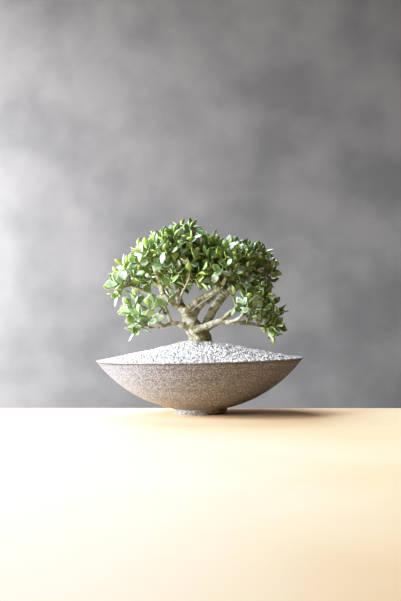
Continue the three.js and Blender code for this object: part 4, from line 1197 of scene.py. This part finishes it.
def along_the_wood(places, paths):
    """For each place on the bark, what the wood is there: its girth, its path's number, how far along that
    path it is, how far from the nearest ring of leaf scars, and how deep that ring is."""
    samples, rings = [], []
    for number, path in enumerate(paths):
        along = np.concatenate([[0], np.cumsum(np.linalg.norm(np.diff(path[:, :3], axis=0), axis=1))])
        marks = np.arange(0, along[-1], 2.5)
        run = np.column_stack([np.interp(marks, along, path[:, i]) for i in range(4)])
        ways = np.gradient(run[:, :3], axis=0) if len(run) > 1 else path[1:2, :3] - path[:1, :3]
        ways /= np.linalg.norm(ways, axis=1)[:, None]
        samples.append(np.column_stack([run, ways, marks, np.full(len(run), number)]))
        ring, at = [], 5.0
        while at < along[-1] + 12:
            ring.append((at, 0.3 + 0.7 * chance(number, len(ring), 5)))
            at += 10 + 18 * chance(number, len(ring), 3)
        rings.append(np.array(ring))
    samples = np.vstack(samples)
    nearest = np.zeros(len(places), int)
    for start in range(0, len(places), BATCH):
        part = places[start:start + BATCH]
        squares = (part**2).sum(1)[:, None] + (samples[:, :3] ** 2).sum(1) - 2 * part @ samples[:, :3].T
        nearest[start:start + BATCH] = np.abs(np.sqrt(np.maximum(squares, 0)) - samples[:, 3]).argmin(1)
    found = samples[nearest]
    owner = found[:, 8].astype(int)
    at = found[:, 7] + ((places - found[:, :3]) * found[:, 4:7]).sum(1)
    from_ring, depth = np.zeros(len(places)), np.zeros(len(places))
    for number, ring in enumerate(rings):
        mine = owner == number
        gaps = np.abs(at[mine][:, None] - ring[:, 0])
        from_ring[mine], depth[mine] = gaps.min(1), ring[gaps.argmin(1), 1]
    return found[:, 3], owner, at, from_ring, depth


def wear_bark(mesh, paths):
    """Rings at old leaf nodes and the bark's unevenness, in the mesh, with their marks kept as
    attributes."""
    co, normals = np.zeros(len(mesh.vertices) * 3), np.zeros(len(mesh.vertices) * 3)
    mesh.vertices.foreach_get("co", co)
    mesh.vertex_normals.foreach_get("vector", normals)
    co, normals = co.reshape(-1, 3) / MM, normals.reshape(-1, 3)
    girth, owner, at, from_ring, depth = along_the_wood(co, paths)
    strength = np.clip(0.75 + 1.3 * lumps(co, 17), 0.0, 1) * (girth < 26) * depth
    groove = np.exp(-((from_ring / 1.3) ** 2)) * strength
    swell = np.exp(-((from_ring / 4.2) ** 2)) * strength
    gnarl = lumps(co, 24, (7, 1, 3)) * np.clip(girth / 24, 0, 1)
    bands = np.column_stack([at / 2.7, co[:, 0] / 30, co[:, 1] / 30 + owner * 7])
    wrinkle = lumps(bands) * np.clip(girth / 10, 0, 1)
    fine = np.clip(girth / 9, 0.15, 1) * (0.75 * swell - 0.8 * groove + 0.35 * lumps(co, 6))
    push = fine + 1.8 * gnarl + 0.55 * wrinkle
    mesh.vertices.foreach_set("co", ((co + normals * push[:, None]) * MM).ravel())
    scar = np.clip(1.5 * groove, 0, 0.9) * np.clip(girth / 5, 0.4, 1)
    # The troughs of the wrinkles darken as well: painted shade in the bark's creases.
    set_attribute(mesh, "scar", "FLOAT", np.maximum(scar, np.clip(-1.6 * wrinkle - 0.15, 0, 0.42)))
    # Low on the trunk, on the side away from the window: the share of painted shade among the speckles.
    damp = np.clip((206 - co[:, 2]) / 20, 0, 1) * np.clip((co[:, 0] + 8) / 24, 0, 1)
    set_attribute(mesh, "damp", "FLOAT", damp)
    set_attribute(mesh, "thick", "FLOAT", np.clip((girth - 1.9) / 3.2, 0, 1))
    mesh.update()


# ---- Leaves, and the nodes that stay ----------------------------------------------------------------


def spray_nodes(sprays):
    """For each spray, the solid that stands for it: the one whose box has its middle nearest to the
    heart."""
    names = [name for name in frame["nodes"] if name.startswith("spray_")]
    middles = np.array([np.mean(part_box(name), axis=0) for name in names]) / MM
    hearts = [twig.base + twig.end * SPRAY_SET_BACK for twig in sprays]
    return [names[int(np.linalg.norm(middles - heart, axis=1).argmin())] for heart in hearts]


def make_foliage(sprays, tufts, stems, leaf, stem):
    """A piece for each spray of the solids, and one for each part of the crown that the tufts fill."""
    form = leaf_form()
    tree = leafy_tree(stems)
    groups = [(f"jade_{name}", [twig], [name]) for twig, name in zip(sprays, spray_nodes(sprays))]
    for side, (low, high) in TUFT_PARTS.items():
        groups.append((f"inner_tufts_{side}", [t for t in tufts if low <= t.base[0] < high], []))
    for name, twigs, replaced in groups:
        paths, seats = [], []
        for twig in twigs:
            fork = twig.base + twig.end * FORK_HEIGHT
            stem_points = [twig.base - twig.end * 3, twig.base + twig.end * 3, fork]
            paths.append(np.column_stack([stem_points, [STEM_RADIUS] * 3]))
            paths += [arm.path() for arm in twig.arms]
            seats += [leaf_seat for arm in [*twig.arms, twig.shoot] for leaf_seat in arm.leaves]
        piece = with_paths(name, paths, seats)
        grow(piece, tree, leaf=form, leaf_material=leaf, stem_material=stem)
        make_plain(piece)
        seat_piece(piece, "leaf", *replaced)
    bpy.data.objects.remove(form)


def dress_hidden_nodes():
    """The soil and the drain screen keep their solids and get their finishes."""
    for name, material in (("soil", potting_soil()), ("drain_screen", screen_plastic())):
        mesh = frame["nodes"][name].data
        mesh.materials.clear()
        mesh.materials.append(material)


# ---- Stage, light and camera ------------------------------------------------------------------------

# The table and wall are in millimetres, and the table's back edge is turned so that it looks level.
TABLE_OUTLINE = ((-3500, -3500), (3500, -3500), (3500, -595), (-3500, 895))
TABLE_TOP, TABLE_UNDERSIDE = -0.2, -30.2
WALL_CORNERS = [(-4500, 3300, -2500), (4500, 3300, -2500), (4500, 3300, 4000), (-4500, 3300, 4000)]
LENS = 64.33  # millimetres
FARTHEST_SEEN = 30  # metres
EYE = (0.0046, -2.6, 0.227)
EYE_PITCH, EYE_ROLL = 91, -1  # degrees
ROOM_LIGHT, ROOM_SEEN = 0.033, 0.3  # how strongly the room lights the piece, and how bright it is to the eye

# Each light: name, place and target in metres, width and height, watts, colour, and spread in degrees.
LIGHTS = [
    ("window", (-2.25, -0.45, 0.55), (0, 0, 0.24), (2.1, 1.3), 120, "#eef2ff", 120),
    ("sky_behind", (-0.8, 1.5, 1.9), (0, 0, 0.3), (1.8, 1.2), 112, "#eef4ff", 180),
    ("window_high", (-2.0, -0.9, 1.7), (0, 0, 0.35), (1.2, 1.0), 66, "#e8f0ff", 180),
    ("room_glow", (1.5, -1.4, 0.35), (0, 0, 0.1), (0.8, 0.6), 2.0, "#ffa45c", 180),
    ("wall_wash", (-2.6, 2.3, 0.7), (-1.2, 3.3, 0.3), (1.0, 1.4), 268, "#eef1ff", 180),
]
BRIGHTEST_LIGHT = 4.5  # light that is shown as pure white
# Light, and the tone that shows it: light tones roll off softly, so that the lit side isn't burnt out.
TONES = [(0.15, 0.15), (0.3, 0.3), (0.45, 0.45), (0.65, 0.62), (0.9, 0.77), (1.3, 0.88), (2.0, 0.945),
         (3.0, 0.98)]


def make_stage():
    """A pale table that ends a little behind the bowl, and a plain grey wall well behind it."""
    wood = patterned("table_lacquered_matt", "TexNoise", {"Scale": 3, "Detail": 2},
                     [(0.3, "#e8c292"), (0.7, "#f0cea2")], {"Roughness": 0.6})
    corners = [(x, y, z) for z in (TABLE_UNDERSIDE, TABLE_TOP) for x, y in TABLE_OUTLINE]
    table = new_holder("table", corners, faces=[*ring_faces(0, 4, 4), (4, 5, 6, 7), (3, 2, 1, 0)])
    table.data.materials.append(wood)
    plaster = patterned("wall_plastered_painted", "TexNoise", {"Scale": 3.2, "Detail": 3},
                        [(0.35, "#6e6c67"), (0.65, "#817e78")], {"Roughness": 0.9})
    wall = new_holder("wall", WALL_CORNERS, faces=[(0, 1, 2, 3)])
    wall.data.materials.append(plaster)


def make_light():
    """A large soft window low at the left, another high in front, a little sky from behind, a warm glow
    from the room at the right, a light for the wall, and how the light is shown."""
    for name, place, target, (width, height), power, tint, spread in LIGHTS:
        light = bpy.data.lights.new(name, "AREA")
        light.shape, light.size, light.size_y, light.energy = "RECTANGLE", width, height, power
        light.color, light.spread = colour(tint)[:3], math.radians(spread)
        lamp = bpy.data.objects.new(name, light)
        lamp.location = place
        lamp.visible_camera = False
        lamp.rotation_euler = (Vector(target) - Vector(place)).to_track_quat("-Z", "Y").to_euler()
        bpy.context.scene.collection.objects.link(lamp)
    world = bpy.data.worlds.new("room")
    bpy.context.scene.world = world
    world.use_nodes = True
    tree = world.node_tree
    seen = node(tree, "LightPath").outputs["Is Camera Ray"]
    strength = node(tree, "MapRange", {"Value": seen, "To Min": ROOM_LIGHT, "To Max": ROOM_SEEN})
    set_inputs(tree, tree.nodes["Background"], {"Color": "#f2ebe4", "Strength": strength})
    view = bpy.context.scene.view_settings
    view.view_transform, view.look = "Standard", "Medium High Contrast"
    view.use_curve_mapping = True
    view.curve_mapping.white_level = [BRIGHTEST_LIGHT] * 3
    for light, shown in TONES:
        view.curve_mapping.curves[3].points.new(light / BRIGHTEST_LIGHT, shown)
    view.curve_mapping.update()


def make_camera():
    """A long lens level with the boughs' forks, looking up by a degree and rolled by a degree."""
    camera = bpy.data.objects.new("camera", bpy.data.cameras.new("camera"))
    camera.data.lens = LENS
    camera.data.clip_end = FARTHEST_SEEN
    camera.location = EYE
    pitch = Euler((math.radians(EYE_PITCH), 0, 0)).to_matrix()
    camera.rotation_euler = (pitch @ Matrix.Rotation(math.radians(EYE_ROLL), 3, "Z")).to_euler()
    bpy.context.scene.collection.objects.link(camera)
    bpy.context.scene.camera = camera


def main():
    make_camera()
    make_stage()
    make_light()
    sprays, tufts = grow_tree()
    stems = sweep_tree()
    make_pot(stoneware_body(), stoneware_foot())
    make_gravel(marble_chips())
    make_wood(sprays, tufts, stems, jade_bark())
    make_foliage(sprays, tufts, stems, jade_leaf(), green_stem())
    dress_hidden_nodes()


main()
